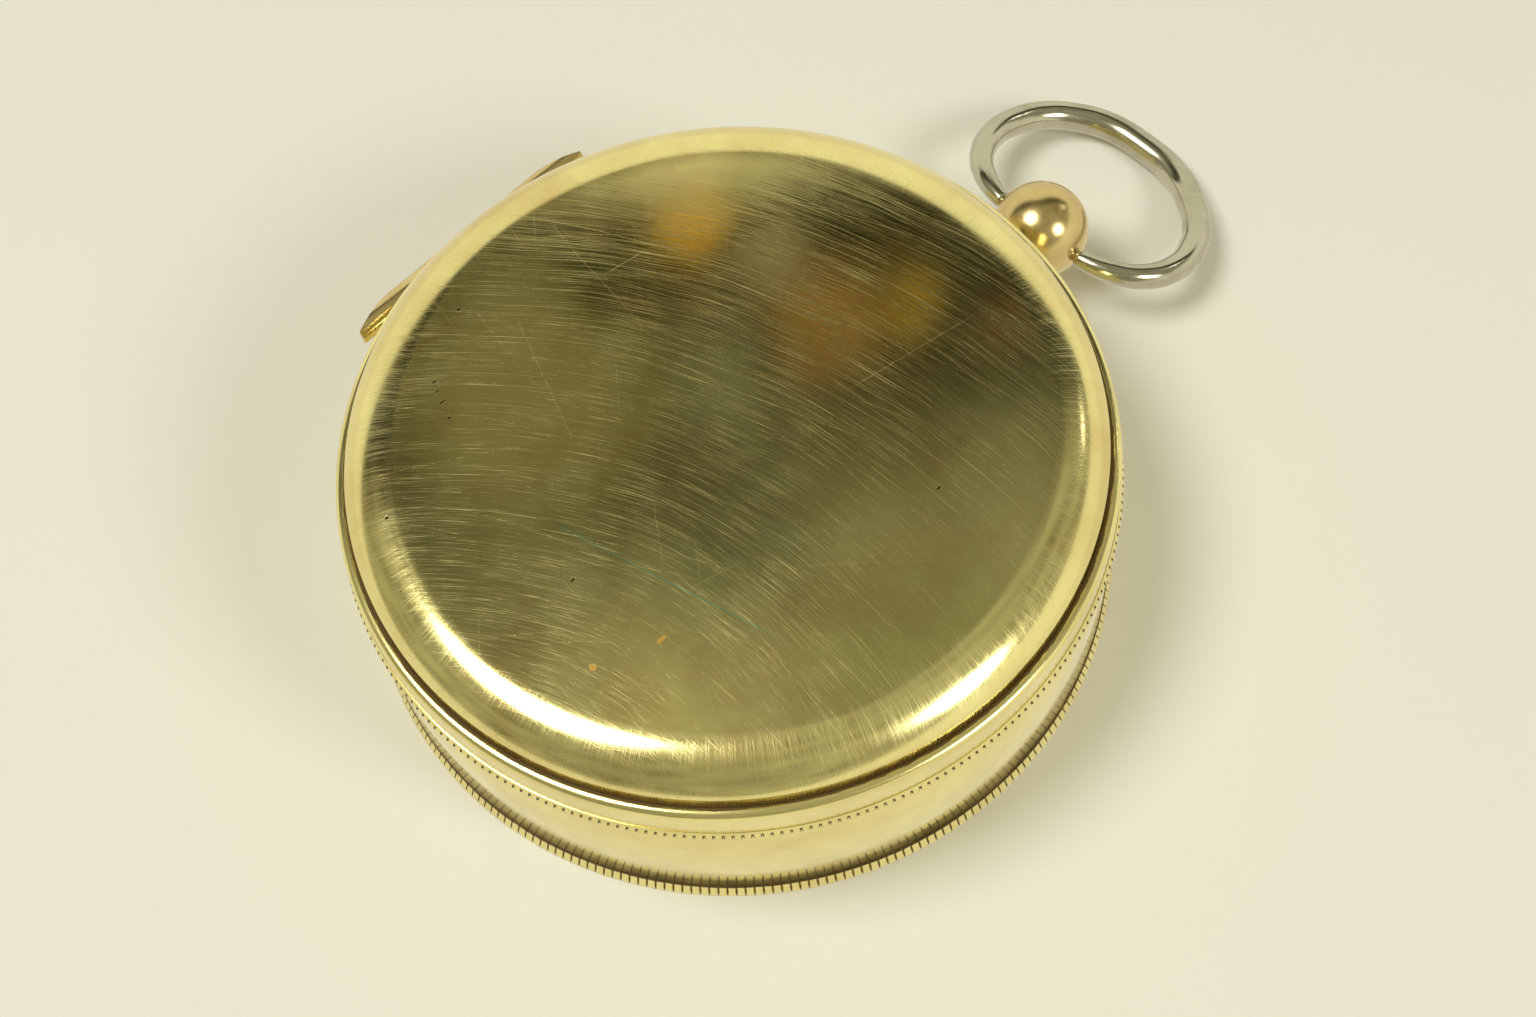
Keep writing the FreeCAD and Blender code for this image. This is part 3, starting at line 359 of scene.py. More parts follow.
# Single scratches: start, end and width.
STROKES = (
    ((-12.9, 7.6), (-2.9, 10.8), 0.05),
    ((-16.0, 2.4), (-15.1, 7.4), 0.045),
    ((4.8, 7.7), (7.3, 20.0), 0.045),
    ((-4.0, 1.5), (9.5, 6.5), 0.04),
    ((-19.0, -4.0), (-6.0, -9.0), 0.045),
    ((12.5, -4.5), (20.5, 4.0), 0.04),
)
GREEN_STROKE = ((-3.4, -14.4), (16.4, -9.2), 0.05)
# Round marks: centre and half sizes.
PITS = (
    ((-18.4, -12.4), (0.12, 0.34)),
    ((-17.6, -12.8), (0.1, 0.3)),
    ((-16.6, -13.2), (0.1, 0.36)),
    ((-15.2, -13.7), (0.16, 0.16)),
    ((-21.9, -6.9), (0.16, 0.22)),
    ((-21.3, -6.3), (0.1, 0.14)),
    ((-12.3, -22.4), (0.18, 0.22)),
    ((15.4, 7.0), (0.12, 0.3)),
    ((1.5, -16.4), (0.12, 0.28)),
)
TAN_SPOTS = (
    ((7.5, -20.0), (0.34, 0.3)),
    ((9.5, -15.2), (0.2, 0.6)),
)
# Satin patches where the polish has gone: centre, half sizes and how rough.
HAZES = (
    ((-13.0, -5.0), (9.0, 8.0), 0.45),
    ((1.0, -10.0), (9.0, 5.0), 0.3),
    ((15.5, -9.5), (7.0, 8.0), 0.6),
    ((3.0, 2.0), (7.0, 5.0), 0.3),
    ((-20.5, -12.0), (3.5, 6.0), 0.8),
)


def scratches(tree, flat, bent, green):
    """Every scratch on the lid, from the rows of marks and the green one."""
    marks = []
    for number, (centre, sizes, share) in enumerate(WIPES):
        run = along_arcs(tree, bent, centre)
        marks.append(hairlines(tree, *run, *scaled(sizes), 0.31 + 50 * number, share))
    for number, (degrees, sizes, share) in enumerate(CROSSINGS):
        run = along_lines(tree, bent, degrees)
        marks.append(hairlines(tree, *run, *scaled(sizes), 0.17 + 90 * number, share))
    marks += [stroke(tree, flat, *row) for row in STROKES]
    return greatest(tree, marks + [green])


def brushing(tree, at, bent, shoulder):
    """The finest marks, as a grey value: along the wipes on the top and round on the shoulder."""
    width = 0.035 * MM
    wipe_length = 5 * MM
    rim_length = 4 * MM
    along, square = along_arcs(tree, bent, WIPES[0][0])
    spot_on_top = add(tree, "CombineXYZ", {0: along, 1: square})
    narrow = (1 / wipe_length, 1 / width, 0.0)
    fine_place = add(tree, "VectorMath", {0: spot_on_top, 1: narrow}, operation="MULTIPLY")
    fine = add(tree, "TexNoise", {"Vector": fine_place, "Scale": 1.0, "Detail": 3.0})
    rim_way = add(tree, "Math", {0: at.angle, 1: DOME_RADIUS / width}, operation="MULTIPLY")
    rim_across = add(tree, "Math", {0: at.reach, 1: 1 / rim_length}, operation="MULTIPLY")
    rim_place = add(tree, "CombineXYZ", {0: rim_way, 1: rim_across})
    rim = add(tree, "TexNoise", {"Vector": rim_place, "Scale": 1.0, "Detail": 2.0})
    return add(tree, "Mix", {0: shoulder, 2: fine, 3: rim}, data_type="FLOAT")


def worn_brass():
    """The lid's brass: polished long ago, then carried in a pocket and wiped. Hairline scratches
    run in wide arcs, a satin film lies between them in patches, and fine brushing crosses the
    shoulder. The scratches are drawn wider than life, so that they show."""
    material, tree, shader = new_material("worn_brass", BRASS, metallic=1.0, roughness=0.1)
    at = polar(tree)
    flat = add(tree, "VectorMath", {0: at.place, 1: (1.0, 1.0, 0.0)}, operation="MULTIPLY")
    # A slow wander bends the scratches a little and keeps them from lying exactly side by side.
    drift = add(tree, "TexNoise", {"Vector": flat, "Scale": 70.0, "Detail": 1.0})
    push = add(tree, "VectorMath", {0: (drift, "Color"), 1: (0.5, 0.5, 0.5)}, operation="SUBTRACT")
    wander = (1.6 * MM, 1.6 * MM, 0.0)
    bent = add(tree, "VectorMath", {0: push, 1: wander, 2: flat}, operation="MULTIPLY_ADD")
    green = stroke(tree, flat, *GREEN_STROKE)
    lines = scratches(tree, flat, bent, green)
    start, full = 23.5 * MM, 25.8 * MM
    shoulder = add(tree, "MapRange", {"Value": at.reach, "From Min": start, "From Max": full})
    brushed = brushing(tree, at, bent, shoulder)

    cloud = add(tree, "TexNoise", {"Vector": flat, "Scale": 110.0, "Detail": 5.0, "Roughness": 0.6})
    hazes = [
        add(tree, "Math", {0: spot(tree, flat, middle, size), 1: strength}, operation="MULTIPLY")
        for middle, size, strength in HAZES
    ]
    span = {"From Min": 0.35, "From Max": 0.7, "To Min": 0.035, "To Max": 0.09}
    film = add(tree, "MapRange", {"Value": cloud, **span})
    # The finest scratches cover a share of the surface, more of it in the hazes.
    haze = greatest(tree, hazes)
    bias = add(tree, "Math", {0: haze, 1: 0.06, 2: brushed}, operation="MULTIPLY_ADD")
    fuzz = add(tree, "MapRange", {"Value": bias, "From Min": 0.5, "From Max": 0.7, "To Max": 0.22})
    grain = add(tree, "Math", {0: fuzz, 1: film}, operation="ADD")
    # The shoulder is rubbed satin all round.
    satin = add(tree, "Math", {0: shoulder, 1: 0.08, 2: grain}, operation="MULTIPLY_ADD")
    rough = add(tree, "Math", {0: lines, 1: 0.15, 2: satin}, operation="MULTIPLY_ADD")

    tint = add(tree, "ValToRGB", {0: cloud}, stops=[(0.3, BRASS_DULL), (0.6, BRASS)])
    # Brown tarnish lies in patches about a centimetre across.
    patches = add(tree, "TexNoise", {"Vector": flat, "Scale": 85.0, "Detail": 4.0, "Roughness": 0.6})
    span = {"From Min": 0.46, "From Max": 0.66, "To Max": 0.45}
    tarnish = add(tree, "MapRange", {"Value": patches, **span})
    pits = greatest(tree, [spot(tree, flat, *row, 0.5) for row in PITS])
    tan = greatest(tree, [spot(tree, flat, *row, 1.2) for row in TAN_SPOTS])
    layers = ((tarnish, "#D4B070"), (green, "#8FCFAE"), (tan, "#C29A4C"), (pits, "#2E2410"))
    for share, colour in layers:
        tint = add(tree, "Mix", {0: share, 6: tint, 7: linear(colour)}, data_type="RGBA")
    marked = greatest(tree, [pits, tan])
    mottled = add(tree, "Mix", {0: marked, 2: rough, 3: 0.45}, data_type="FLOAT")

    low = add(tree, "Math", {0: lines, 1: -0.5, 2: brushed}, operation="MULTIPLY_ADD")
    lower = add(tree, "Math", {0: pits, 1: -12.0, 2: low}, operation="MULTIPLY_ADD")
    bump = add(tree, "Bump", {"Height": lower, "Strength": 0.3, "Distance": 0.002 * MM})
    feed(tree, shader, {"Normal": bump})

    # Dirt has crept up the plate's edge from the groove.
    dirt_top = BAND_TOP - 0.55 * MM
    creep = add(tree, "TexNoise", {"Vector": at.place, "Scale": 1400.0, "Detail": 3.0})
    edge = add(tree, "Math", {0: creep, 1: 0.5 * MM, 2: dirt_top}, operation="MULTIPLY_ADD")
    over = add(tree, "Math", {0: at.height, 1: edge}, operation="SUBTRACT")
    bare = add(tree, "MapRange", {"Value": over, "From Min": -0.03 * MM, "From Max": 0.08 * MM})
    settle(tree, shader, bare, tint, mottled)
    return material


def plain_metal(name, colour, dull, roughness, cloud_size):
    """Ground or satin metal: one colour with a cloudy tarnish and fine grain."""
    material, tree, shader = new_material(name, colour, metallic=1.0, roughness=roughness)
    place = (add(tree, "TexCoord"), "Object")
    scale = 1 / cloud_size
    cloud = add(tree, "TexNoise", {"Vector": place, "Scale": scale, "Detail": 5.0, "Roughness": 0.65})
    tint = add(tree, "ValToRGB", {0: cloud}, stops=[(0.35, dull), (0.6, colour)])
    span = {"From Min": 0.3, "From Max": 0.7, "To Min": roughness * 1.5, "To Max": roughness * 0.8}
    rough = add(tree, "MapRange", {"Value": cloud, **span})
    grain = add(tree, "TexNoise", {"Vector": place, "Scale": 6000.0, "Detail": 2.0})
    bump = add(tree, "Bump", {"Height": grain, "Strength": 0.1, "Distance": 0.005 * MM})
    feed(tree, shader, {"Base Color": tint, "Roughness": rough, "Normal": bump})
    return material


def aged_card():
    """Printed card gone cream with age: matt, with fine fibres and a few brown foxing spots."""
    material, tree, shader = new_material("aged_card", "#E9E0C6", roughness=0.85)
    place = (add(tree, "TexCoord"), "Object")
    fibre = add(tree, "TexNoise", {"Vector": place, "Scale": 900.0, "Detail": 6.0, "Roughness": 0.7})
    tint = add(tree, "ValToRGB", {0: fibre}, stops=[(0.3, "#DED2B2"), (0.65, "#EEE7D2")])
    spots = add(tree, "TexVoronoi", {"Vector": place, "Scale": 220.0})
    span = {"From Min": 0.05, "From Max": 0.16, "To Min": 0.5, "To Max": 0.0}
    fox = add(tree, "MapRange", {"Value": (spots, "Distance"), **span})
    colour = add(tree, "Mix", {0: fox, 6: tint, 7: linear("#B99C62")}, data_type="RGBA")
    bump = add(tree, "Bump", {"Height": fibre, "Strength": 0.2, "Distance": 0.02 * MM})
    feed(tree, shader, {"Base Color": colour, "Normal": bump})
    return material


def ink(name, colour):
    """Printing ink or wax filling, matt, with a slight fade."""
    material, tree, shader = new_material(name, colour, roughness=0.6)
    place = (add(tree, "TexCoord"), "Object")
    fade = add(tree, "TexNoise", {"Vector": place, "Scale": 1500.0, "Detail": 3.0})
    feed(tree, shader, {"Roughness": add(tree, "MapRange", {"Value": fade, "To Min": 0.45, "To Max": 0.8})})
    return material


def window_glass():
    """Thin clear glass, faintly green, with the odd wipe mark."""
    material, tree, shader = new_material("window_glass", "#F7FBF8", roughness=0.02)
    place = (add(tree, "TexCoord"), "Object")
    wipe = add(tree, "TexNoise", {"Vector": place, "Scale": 120.0, "Detail": 3.0})
    span = {"From Min": 0.5, "From Max": 0.75, "To Min": 0.01, "To Max": 0.06}
    rough = add(tree, "MapRange", {"Value": wipe, **span})
    feed(tree, shader, {"Transmission Weight": 1.0, "IOR": 1.5, "Roughness": rough})
    return material


BRASS = "#F9ECA6"
BRASS_DULL = "#EBDB96"
RED_BRASS = "#E6CE94"
RED_BRASS_DULL = "#D3BA80"
GRIME = "#6A5734"
# Dirt in the base's notches, and painted shade on its ledge beside the wall's foot.
RIM_DIRT_AND_SHADE = dirt_in_notches(WALL_FOOT, 0.07, WALL_RADIUS + 0.035 * MM)
TICK_DIRT = dirt_in_notches(MILLED_FOOT + 0.7 * MM, 0.16)

# The case wall, with painted shade laid dark brown in the undercut at its foot.
CASE_BRASS = polished_brass("case_brass", BRASS, BRASS_DULL, (0.16, 0.07), dirt_at_foot)
BAND_BRASS = polished_brass("band_brass", BRASS, BRASS_DULL, dirt=dirt_in_groove)
MILLED_BRASS = polished_brass("milled_brass", BRASS, BRASS_DULL, dirt=RIM_DIRT_AND_SHADE)
TICKED_BRASS = polished_brass("ticked_brass", BRASS, BRASS_DULL, dirt=TICK_DIRT)
HANDLED_BRASS = polished_brass("handled_brass", RED_BRASS, RED_BRASS_DULL, (0.22, 0.13))
WORN_BRASS = worn_brass()
INNER_BRASS = plain_metal("inner_brass", "#EFDA9A", "#D3BC78", 0.3, 3 * MM)
SILVERED = plain_metal("silvered_brass", "#DEDAD0", "#C6BFAE", 0.38, 4 * MM)
WHITE_METAL = plain_metal("white_metal", "#C8C3AE", "#B2AC95", 0.16, 6 * MM)
STEEL = plain_metal("ground_steel", "#B9B7B2", "#8E8B85", 0.3, 2 * MM)
BLUED = plain_metal("blued_steel", "#27386B", "#1A2547", 0.22, 3 * MM)
CARD = aged_card()
BLACK_INK = ink("black_ink", "#1D1B19")
RED_INK = ink("red_ink", "#7A2A1E")
GLASS = window_glass()
AGATE = ink("agate_stone", "#6E2F1C")


# Making pieces

def new_object(name, data):
    """An object in the scene that shows some data."""
    made = bpy.data.objects.new(name, data)
    bpy.context.scene.collection.objects.link(made)
    return made


def baked(thing):
    """The mesh of an object with its modifier, or of a curve or a text."""
    graph = bpy.context.evaluated_depsgraph_get()
    return bpy.data.meshes.new_from_object(thing.evaluated_get(graph))


def finish_piece(mesh_builder, name, body, material, node=None, sharp=32):
    """Turn a bmesh into a piece of the scene that rides on a body."""
    mesh = bpy.data.meshes.new(name)
    mesh_builder.to_mesh(mesh)
    mesh_builder.free()
    mesh.materials.append(material)
    mesh.shade_smooth()
    mesh.set_sharp_from_angle(angle=math.radians(sharp))
    piece = new_object(name, mesh)
    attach(piece, body)
    if node:
        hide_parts(node)
    return piece


def soften(shape, edges, width):
    """Round some edges off."""
    bmesh.ops.bevel(
        shape,
        geom=edges,
        offset=width,
        affect="EDGES",
        segments=2,
        profile=0.5,
        material=-1,
        clamp_overlap=True,
    )


def lathe(corners, steps, soft=0.0, closed=True):
    """Turn an outline of (radius, height) corners round the Z axis. Soft rounds its sharp rings.
    An eighth of the turn is spun and then copied round, because one long spin is slow."""
    shape = bmesh.new()
    points = [shape.verts.new((radius, 0, height)) for radius, height in corners]
    pairs = list(zip(points, points[1:])) + ([(points[-1], points[0])] if closed else [])
    edges = [shape.edges.new(pair) for pair in pairs]
    sector = math.pi / 4
    middle, axis = (0, 0, 0), (0, 0, 1)
    bmesh.ops.spin(shape, geom=points + edges, cent=middle, axis=axis, angle=sector, steps=steps // 8)
    for doubling in range(3):
        copied = bmesh.ops.duplicate(shape, geom=shape.verts[:] + shape.edges[:] + shape.faces[:])
        fresh = [part for part in copied["geom"] if isinstance(part, bmesh.types.BMVert)]
        turn = Matrix.Rotation(sector * 2 ** doubling, 3, "Z")
        bmesh.ops.rotate(shape, verts=fresh, cent=middle, matrix=turn)
    bmesh.ops.remove_doubles(shape, verts=shape.verts, dist=WELD)
    bmesh.ops.recalc_face_normals(shape, faces=shape.faces)
    if soft:
        rings = [
            edge
            for edge in shape.edges
            if len(edge.link_faces) == 2
            and edge.calc_face_angle(0) > math.radians(25)
            and abs(edge.verts[0].co.z - edge.verts[1].co.z) < SLACK
        ]
        soften(shape, rings, soft)
    return shape


def turned(inner, outer, low, high, steps, soft=0.0):
    """A plain upright ring, or a plain disc or bar where inner is 0."""
    corners = [(inner, low), (outer, low), (outer, high), (inner, high)]
    return lathe(corners, steps, soft, closed=inner > 0)


def arc(centre, radius, start, end, steps):
    """Corners of an outline round a centre, from one angle off straight up to another. The first
    point of the arc is left out, as the outline is there already."""
    angles = [start + (end - start) * step / steps for step in range(1, steps + 1)]
    return [(centre[0] + radius * math.sin(a), centre[1] + radius * math.cos(a)) for a in angles]


def mill(shape, per_tooth, low, high, radius, depth):
    """Press V notches into the rim: one column in each group of per_tooth moves inwards."""
    pitch = 2 * math.pi / (TEETH * per_tooth)
    for vert in shape.verts:
        reach = math.hypot(vert.co.x, vert.co.y)
        column = round(math.atan2(vert.co.y, vert.co.x) / pitch)
        at_rim = reach > radius - 0.05 * MM and low - SLACK <= vert.co.z <= high + SLACK
        if at_rim and column % per_tooth == 0:
            vert.co.x *= (reach - depth) / reach
            vert.co.y *= (reach - depth) / reach


def along_y(shape, centre):
    """Lay a shape that was turned round Z along the Y axis, with its middle at centre."""
    turn = Matrix.Translation(centre) @ Matrix.Rotation(-math.pi / 2, 4, "X")
    bmesh.ops.transform(shape, matrix=turn, verts=shape.verts)
    return shape


def carve(piece, *tools, keep_inside=False):
    """Cut other closed shapes out of a piece, for good, or keep only what lies inside them."""
    for tool in tools:
        mesh = bpy.data.meshes.new("tool")
        tool.to_mesh(mesh)
        tool.free()
        cutter = new_object("tool", mesh)
        modifier = piece.modifiers.new("cut", "BOOLEAN")
        modifier.operation = "INTERSECT" if keep_inside else "DIFFERENCE"
        modifier.solver = "EXACT"
        modifier.object = cutter
        uncut = piece.data
        made = baked(piece)
        piece.modifiers.remove(modifier)
        piece.data = made
        bpy.data.meshes.remove(uncut)
        bpy.data.objects.remove(cutter)
        bpy.data.meshes.remove(mesh)
    piece.data.shade_smooth()
    piece.data.set_sharp_from_angle(angle=math.radians(32))


def box_between(low, high):
    shape = bmesh.new()
    bmesh.ops.create_cube(shape, size=1.0)
    bmesh.ops.scale(shape, vec=Vector(high) - Vector(low), verts=shape.verts)
    bmesh.ops.translate(shape, vec=(Vector(high) + Vector(low)) / 2, verts=shape.verts)
    return shape


def hinge_room():
    """The round space that the hinge barrel turns in."""
    half = HINGE_HALF + 0.1 * MM
    return along_y(turned(0, BARREL_RADIUS + 0.08 * MM, -half, half, 96), HINGE)


def leaf_room():
    """The space in the lid's foot that its hinge leaf fills."""
    low = (HINGE.x - 1 * MM, -MIDDLE_HALF, MILLED_FOOT - 1 * MM)
    high = (extent("lid_leaf", "x", 1), MIDDLE_HALF, extent("lid_leaf", "z", 1))
    return box_between(low, high)


# The case

def milled_base():
    """The bottom plate. Its rim is tapered and milled with V notches that have filled with dirt,
    and painted shade lies on its top next to the wall.
    """
    edge = 0.1 * MM
    face = 0.36 * MM
    taper = 0.33 * MM
    underside_ring = 24 * MM
    floor = 1.4 * MM
    spigot_top = extent("base_plate", "z", 1)
    spigot_inside = BORE_RADIUS - 0.8 * MM
    corners = [
        (0, 0),
        (underside_ring, 0),
        (CASE_RADIUS - edge, 0),
        (CASE_RADIUS, edge),
        (CASE_RADIUS, face),
        (CASE_RADIUS - taper, WALL_FOOT),
        (BORE_RADIUS, WALL_FOOT),
        (BORE_RADIUS, spigot_top),
        (spigot_inside, spigot_top),
        (spigot_inside, floor),
        (0, floor),
    ]
    per_tooth = 6
    shape = lathe(corners, TEETH * per_tooth, closed=False)
    mill(shape, per_tooth, edge, WALL_FOOT, CASE_RADIUS - taper, 0.14 * MM)
    finish_piece(shape, "milled_base", "case", MILLED_BRASS, "base_plate")


def drum():
    """The plain turned wall of the case, with its undercut foot and the seat of the bezel."""
    undercut = WALL_RADIUS - 0.3 * MM
    undercut_top = WALL_FOOT + 0.15 * MM
    corners = [
        (BORE_RADIUS, WALL_FOOT),
        (undercut, WALL_FOOT),
        (undercut, undercut_top),
        (WALL_RADIUS, undercut_top),
        (WALL_RADIUS, WALL_TOP),
        (SEAT_RADIUS, WALL_TOP),
        (SEAT_RADIUS, SEAT_HEIGHT),
        (BORE_RADIUS, SEAT_HEIGHT),
    ]
    shape = lathe(corners, 360, soft=0.05 * MM)
    piece = finish_piece(shape, "drum_wall", "case", CASE_BRASS, "case_wall")
    stud_hole = turned(0, SHANK_RADIUS, 20 * MM, 40 * MM, 96)
    carve(piece, hinge_room(), along_y(stud_hole, Vector((0, 0, BALL.z))))


def glazing():
    """The bezel with the hole for the lock pin, the glass, and the thin ring that keeps it in."""
    lap_inside = GLASS_RADIUS - GLASS_LAP
    bezel_radius = SEAT_RADIUS - 0.03 * MM
    corners = [
        (lap_inside, SEAT_HEIGHT),
        (bezel_radius, SEAT_HEIGHT),
        (bezel_radius, BEZEL_TOP),
        (GLASS_RADIUS, BEZEL_TOP),
        (GLASS_RADIUS, GLASS_FOOT),
        (lap_inside, GLASS_FOOT),
    ]
    shape = lathe(corners, 360, soft=0.06 * MM)
    ring = finish_piece(shape, "glass_bezel", "case", INNER_BRASS, "bezel")
    pin_x = (extent("lock_pin", "x", 0) + extent("lock_pin", "x", 1)) / 2
    hole = turned(0, 0.65 * MM, 0, 20 * MM, 48)
    bmesh.ops.translate(hole, vec=(pin_x, 0, 0), verts=hole.verts)
    carve(ring, hole)
    pane = turned(0, GLASS_RADIUS, GLASS_FOOT, GLASS_TOP, 256)
    finish_piece(pane, "glass_pane", "case", GLASS, "glass")
    snap = turned(GLASS_RADIUS - 0.8 * MM, GLASS_RADIUS, GLASS_TOP, BEZEL_TOP, 256, soft=0.05 * MM)
    finish_piece(snap, "glass_snap_ring", "case", INNER_BRASS, "glass_ring")


# The lid

def dome():
    """The lid's plate: a crowned sheet with a rounded shoulder, a little wavy from wear."""
    rings, bends, lip_bends = 48, 20, 4
    flat_top = DOME_TOP - DOME_CROWN
    middle = (FLAT_RADIUS, flat_top - SHOULDER_RADIUS)
    sunk = SHOULDER_RADIUS * (1 - math.cos(SHOULDER_TURN)) + LIP_RADIUS * math.cos(SHOULDER_TURN)
    lip_middle = (DOME_RADIUS - LIP_RADIUS, flat_top - sunk)

    def crown(drop):
        reaches = [FLAT_RADIUS * step / rings for step in range(rings + 1)]
        centre = DOME_TOP - drop - CROWN_RADIUS
        return [(reach, centre + math.sqrt(CROWN_RADIUS ** 2 - reach ** 2)) for reach in reaches]

    outside = crown(0) + arc(middle, SHOULDER_RADIUS, 0, SHOULDER_TURN, bends)
    outside += arc(lip_middle, LIP_RADIUS, SHOULDER_TURN, math.pi / 2, lip_bends)
    outside.append((DOME_RADIUS, LEDGE_TOP))
    inner = SHOULDER_RADIUS - DOME_WALL
    inner_turn = math.asin((DOME_RADIUS - DOME_WALL - FLAT_RADIUS) / inner)
    inside = crown(DOME_WALL) + arc(middle, inner, 0, inner_turn, bends)
    inside.append((DOME_RADIUS - DOME_WALL, LEDGE_TOP))
    shape = lathe(outside + inside[::-1], 360, closed=False)
    for vert in shape.verts:
        reach = math.hypot(vert.co.x, vert.co.y)
        fade = max(0.0, min(1.0, (DOME_RADIUS - 1.5 * MM - reach) / (3 * MM)))
        wave = noise.noise(Vector((vert.co.x, vert.co.y, 0)) * 75)
        ripple = noise.noise(Vector((vert.co.x + 1, vert.co.y, 0)) * 190)
        vert.co.z += fade * (0.028 * wave + 0.005 * ripple - 0.02) * MM
    finish_piece(shape, "domed_plate", "lid", WORN_BRASS, "lid_dome", sharp=50)


def band():
    """The lid's upright band, with a rounded shoulder and the ledge that the plate sits on. Dirt
    packed into the groove between them is part of it."""
    round_over = 0.6 * MM
    bends = 8
    groove_inside = DOME_RADIUS + 0.02 * MM
    middle = (BAND_RADIUS - round_over, BAND_TOP - round_over)
    corners = [
        (BAND_INSIDE, MILLED_TOP),
        (BAND_RADIUS, MILLED_TOP),
        (BAND_RADIUS, BAND_TOP - round_over),
        *arc(middle, round_over, math.pi / 2, 0, bends),
        (BAND_INSIDE, BAND_TOP - 0.08 * MM),
        (groove_inside, BAND_TOP - 0.3 * MM),
        (groove_inside, LEDGE_TOP),
        (LEDGE_INSIDE, LEDGE_TOP),
        (LEDGE_INSIDE, LEDGE_FOOT),
        (BAND_INSIDE, LEDGE_FOOT),
    ]
    piece = finish_piece(lathe(corners, 360), "lid_band_wall", "lid", BAND_BRASS, "lid_band")
    carve(piece, hinge_room(), leaf_room())


def lid_milling():
    """The foot of the band: a low ridge, notched all round with short upright ticks."""
    margin = 0.04 * MM
    low, high = MILLED_FOOT + 4 * margin, MILLED_FOOT + 12 * margin
    corners = [
        (BAND_INSIDE, MILLED_FOOT),
        (WALL_RADIUS + margin, MILLED_FOOT),
        (CASE_RADIUS - 2 * margin, low),
        (CASE_RADIUS, MILLED_FOOT + 7 * margin),
        (CASE_RADIUS - margin, high),
        (CASE_RADIUS - 2 * margin, MILLED_FOOT + 15 * margin),
        (BAND_RADIUS + margin, MILLED_TOP),
        (BAND_INSIDE, MILLED_TOP),
    ]
    per_tooth = 8
    shape = lathe(corners, TEETH * per_tooth)
    mill(shape, per_tooth, low, high, CASE_RADIUS - 2 * margin, 0.2 * MM)
    piece = finish_piece(shape, "lid_milling", "lid", TICKED_BRASS, "milled_lid_ring")
    carve(piece, hinge_room(), leaf_room())


def lid_snap():
    low, high = extent("snap_ring", "z", 0), extent("snap_ring", "z", 1)
    outer = extent("snap_ring", "x", 1)
    shape = turned(outer - 0.5 * MM, outer, low, high, 256, soft=0.08 * MM)
    finish_piece(shape, "lid_snap_lip", "lid", INNER_BRASS, "snap_ring")


# The hinge

def knuckle(low, high):
    """A barrel of the hinge along Y, with the bore for its pin."""
    return along_y(turned(0.46 * MM, BARREL_RADIUS, low, high, 64, soft=0.07 * MM), HINGE)


def hinge():
    """Three knuckles on one pin: the outer two are the case's and the middle one the lid's. The
    ends are filed round, in line with the case."""
    inner = MIDDLE_HALF + 0.1 * MM
    filed = CASE_RADIUS + 2.1 * MM
    web_low = Vector((HINGE.x + 0.3 * MM, 0, WALL_TOP - 0.65 * MM))
    web_size = Vector((2.4, 4.6, 0.55)) * MM
    for word, low, high in (("front", inner, HINGE_HALF), ("back", -HINGE_HALF, -inner)):
        name = "case_knuckle_" + word
        barrel = finish_piece(knuckle(low, high), name, "case", HANDLED_BRASS, "case_knuckles")
        carve(barrel, turned(0, filed, 0, 2 * HINGE.z, 256), keep_inside=True)
        web_low.y = low if low > 0 else high - web_size.y
        web = box_between(web_low, web_low + web_size)
        piece = finish_piece(web, "case_hinge_web_" + word, "case", HANDLED_BRASS)
        carve(piece, turned(0, WALL_RADIUS, 0, WALL_TOP, 256))
    middle = knuckle(-MIDDLE_HALF, MIDDLE_HALF)
    finish_piece(middle, "lid_knuckle", "lid", HANDLED_BRASS, "lid_leaf")
    low = (HINGE.x, -MIDDLE_HALF, HINGE.z + 0.7 * MM)
    high = (extent("lid_leaf", "x", 1), MIDDLE_HALF, extent("lid_leaf", "z", 1))
    plate = box_between(low, high)
    soften(plate, plate.edges, 0.08 * MM)
    finish_piece(plate, "lid_leaf_plate", "lid", HANDLED_BRASS)


# The pendant and bow

def pendant():
    """The neck, with its flange against the wall and its shank through it, and the ball."""
    shank_end = extent("pendant_stud", "y", 0)
    flange_foot = WALL_RADIUS - 0.3 * MM
    flange = 2.5 * MM
    corners = [
        (0, shank_end),
        (SHANK_RADIUS, shank_end),
        (SHANK_RADIUS, flange_foot),
        (flange, flange_foot),
        (flange, WALL_RADIUS + 0.45 * MM),
        (2.3 * MM, WALL_RADIUS + 0.65 * MM),
        (1.8 * MM, WALL_RADIUS + 0.75 * MM),
        (1.65 * MM, WALL_RADIUS + 1.3 * MM),
        (1.7 * MM, BALL.y - 3.3 * MM),
        (0, BALL.y - 3.0 * MM),
    ]
    shape = along_y(lathe(corners, 96, soft=0.06 * MM, closed=False), Vector((0, 0, BALL.z)))
    finish_piece(shape, "pendant_neck", "case", HANDLED_BRASS, "pendant_stud")

    ball = bmesh.new()
    bmesh.ops.create_uvsphere(ball, u_segments=96, v_segments=64, radius=BALL_RADIUS)
    turn = Matrix.Translation(BALL) @ Matrix.Rotation(math.pi / 2, 4, "Y")
    bmesh.ops.transform(ball, matrix=turn, verts=ball.verts)
    finish_piece(ball, "pendant_globe", "case", HANDLED_BRASS, "pendant_ball")


BOW_HALF_WIDTH = 10.2 * MM
BOW_LENGTH = 15.9 * MM
BOW_LEAN = 1.2 * MM
BOW_RADIUS = 1.25 * MM
BOW_END_RADIUS = 0.72 * MM
BOW_PIN_RADIUS = 0.5 * MM
BOW_SWELL_SHARE = 0.5
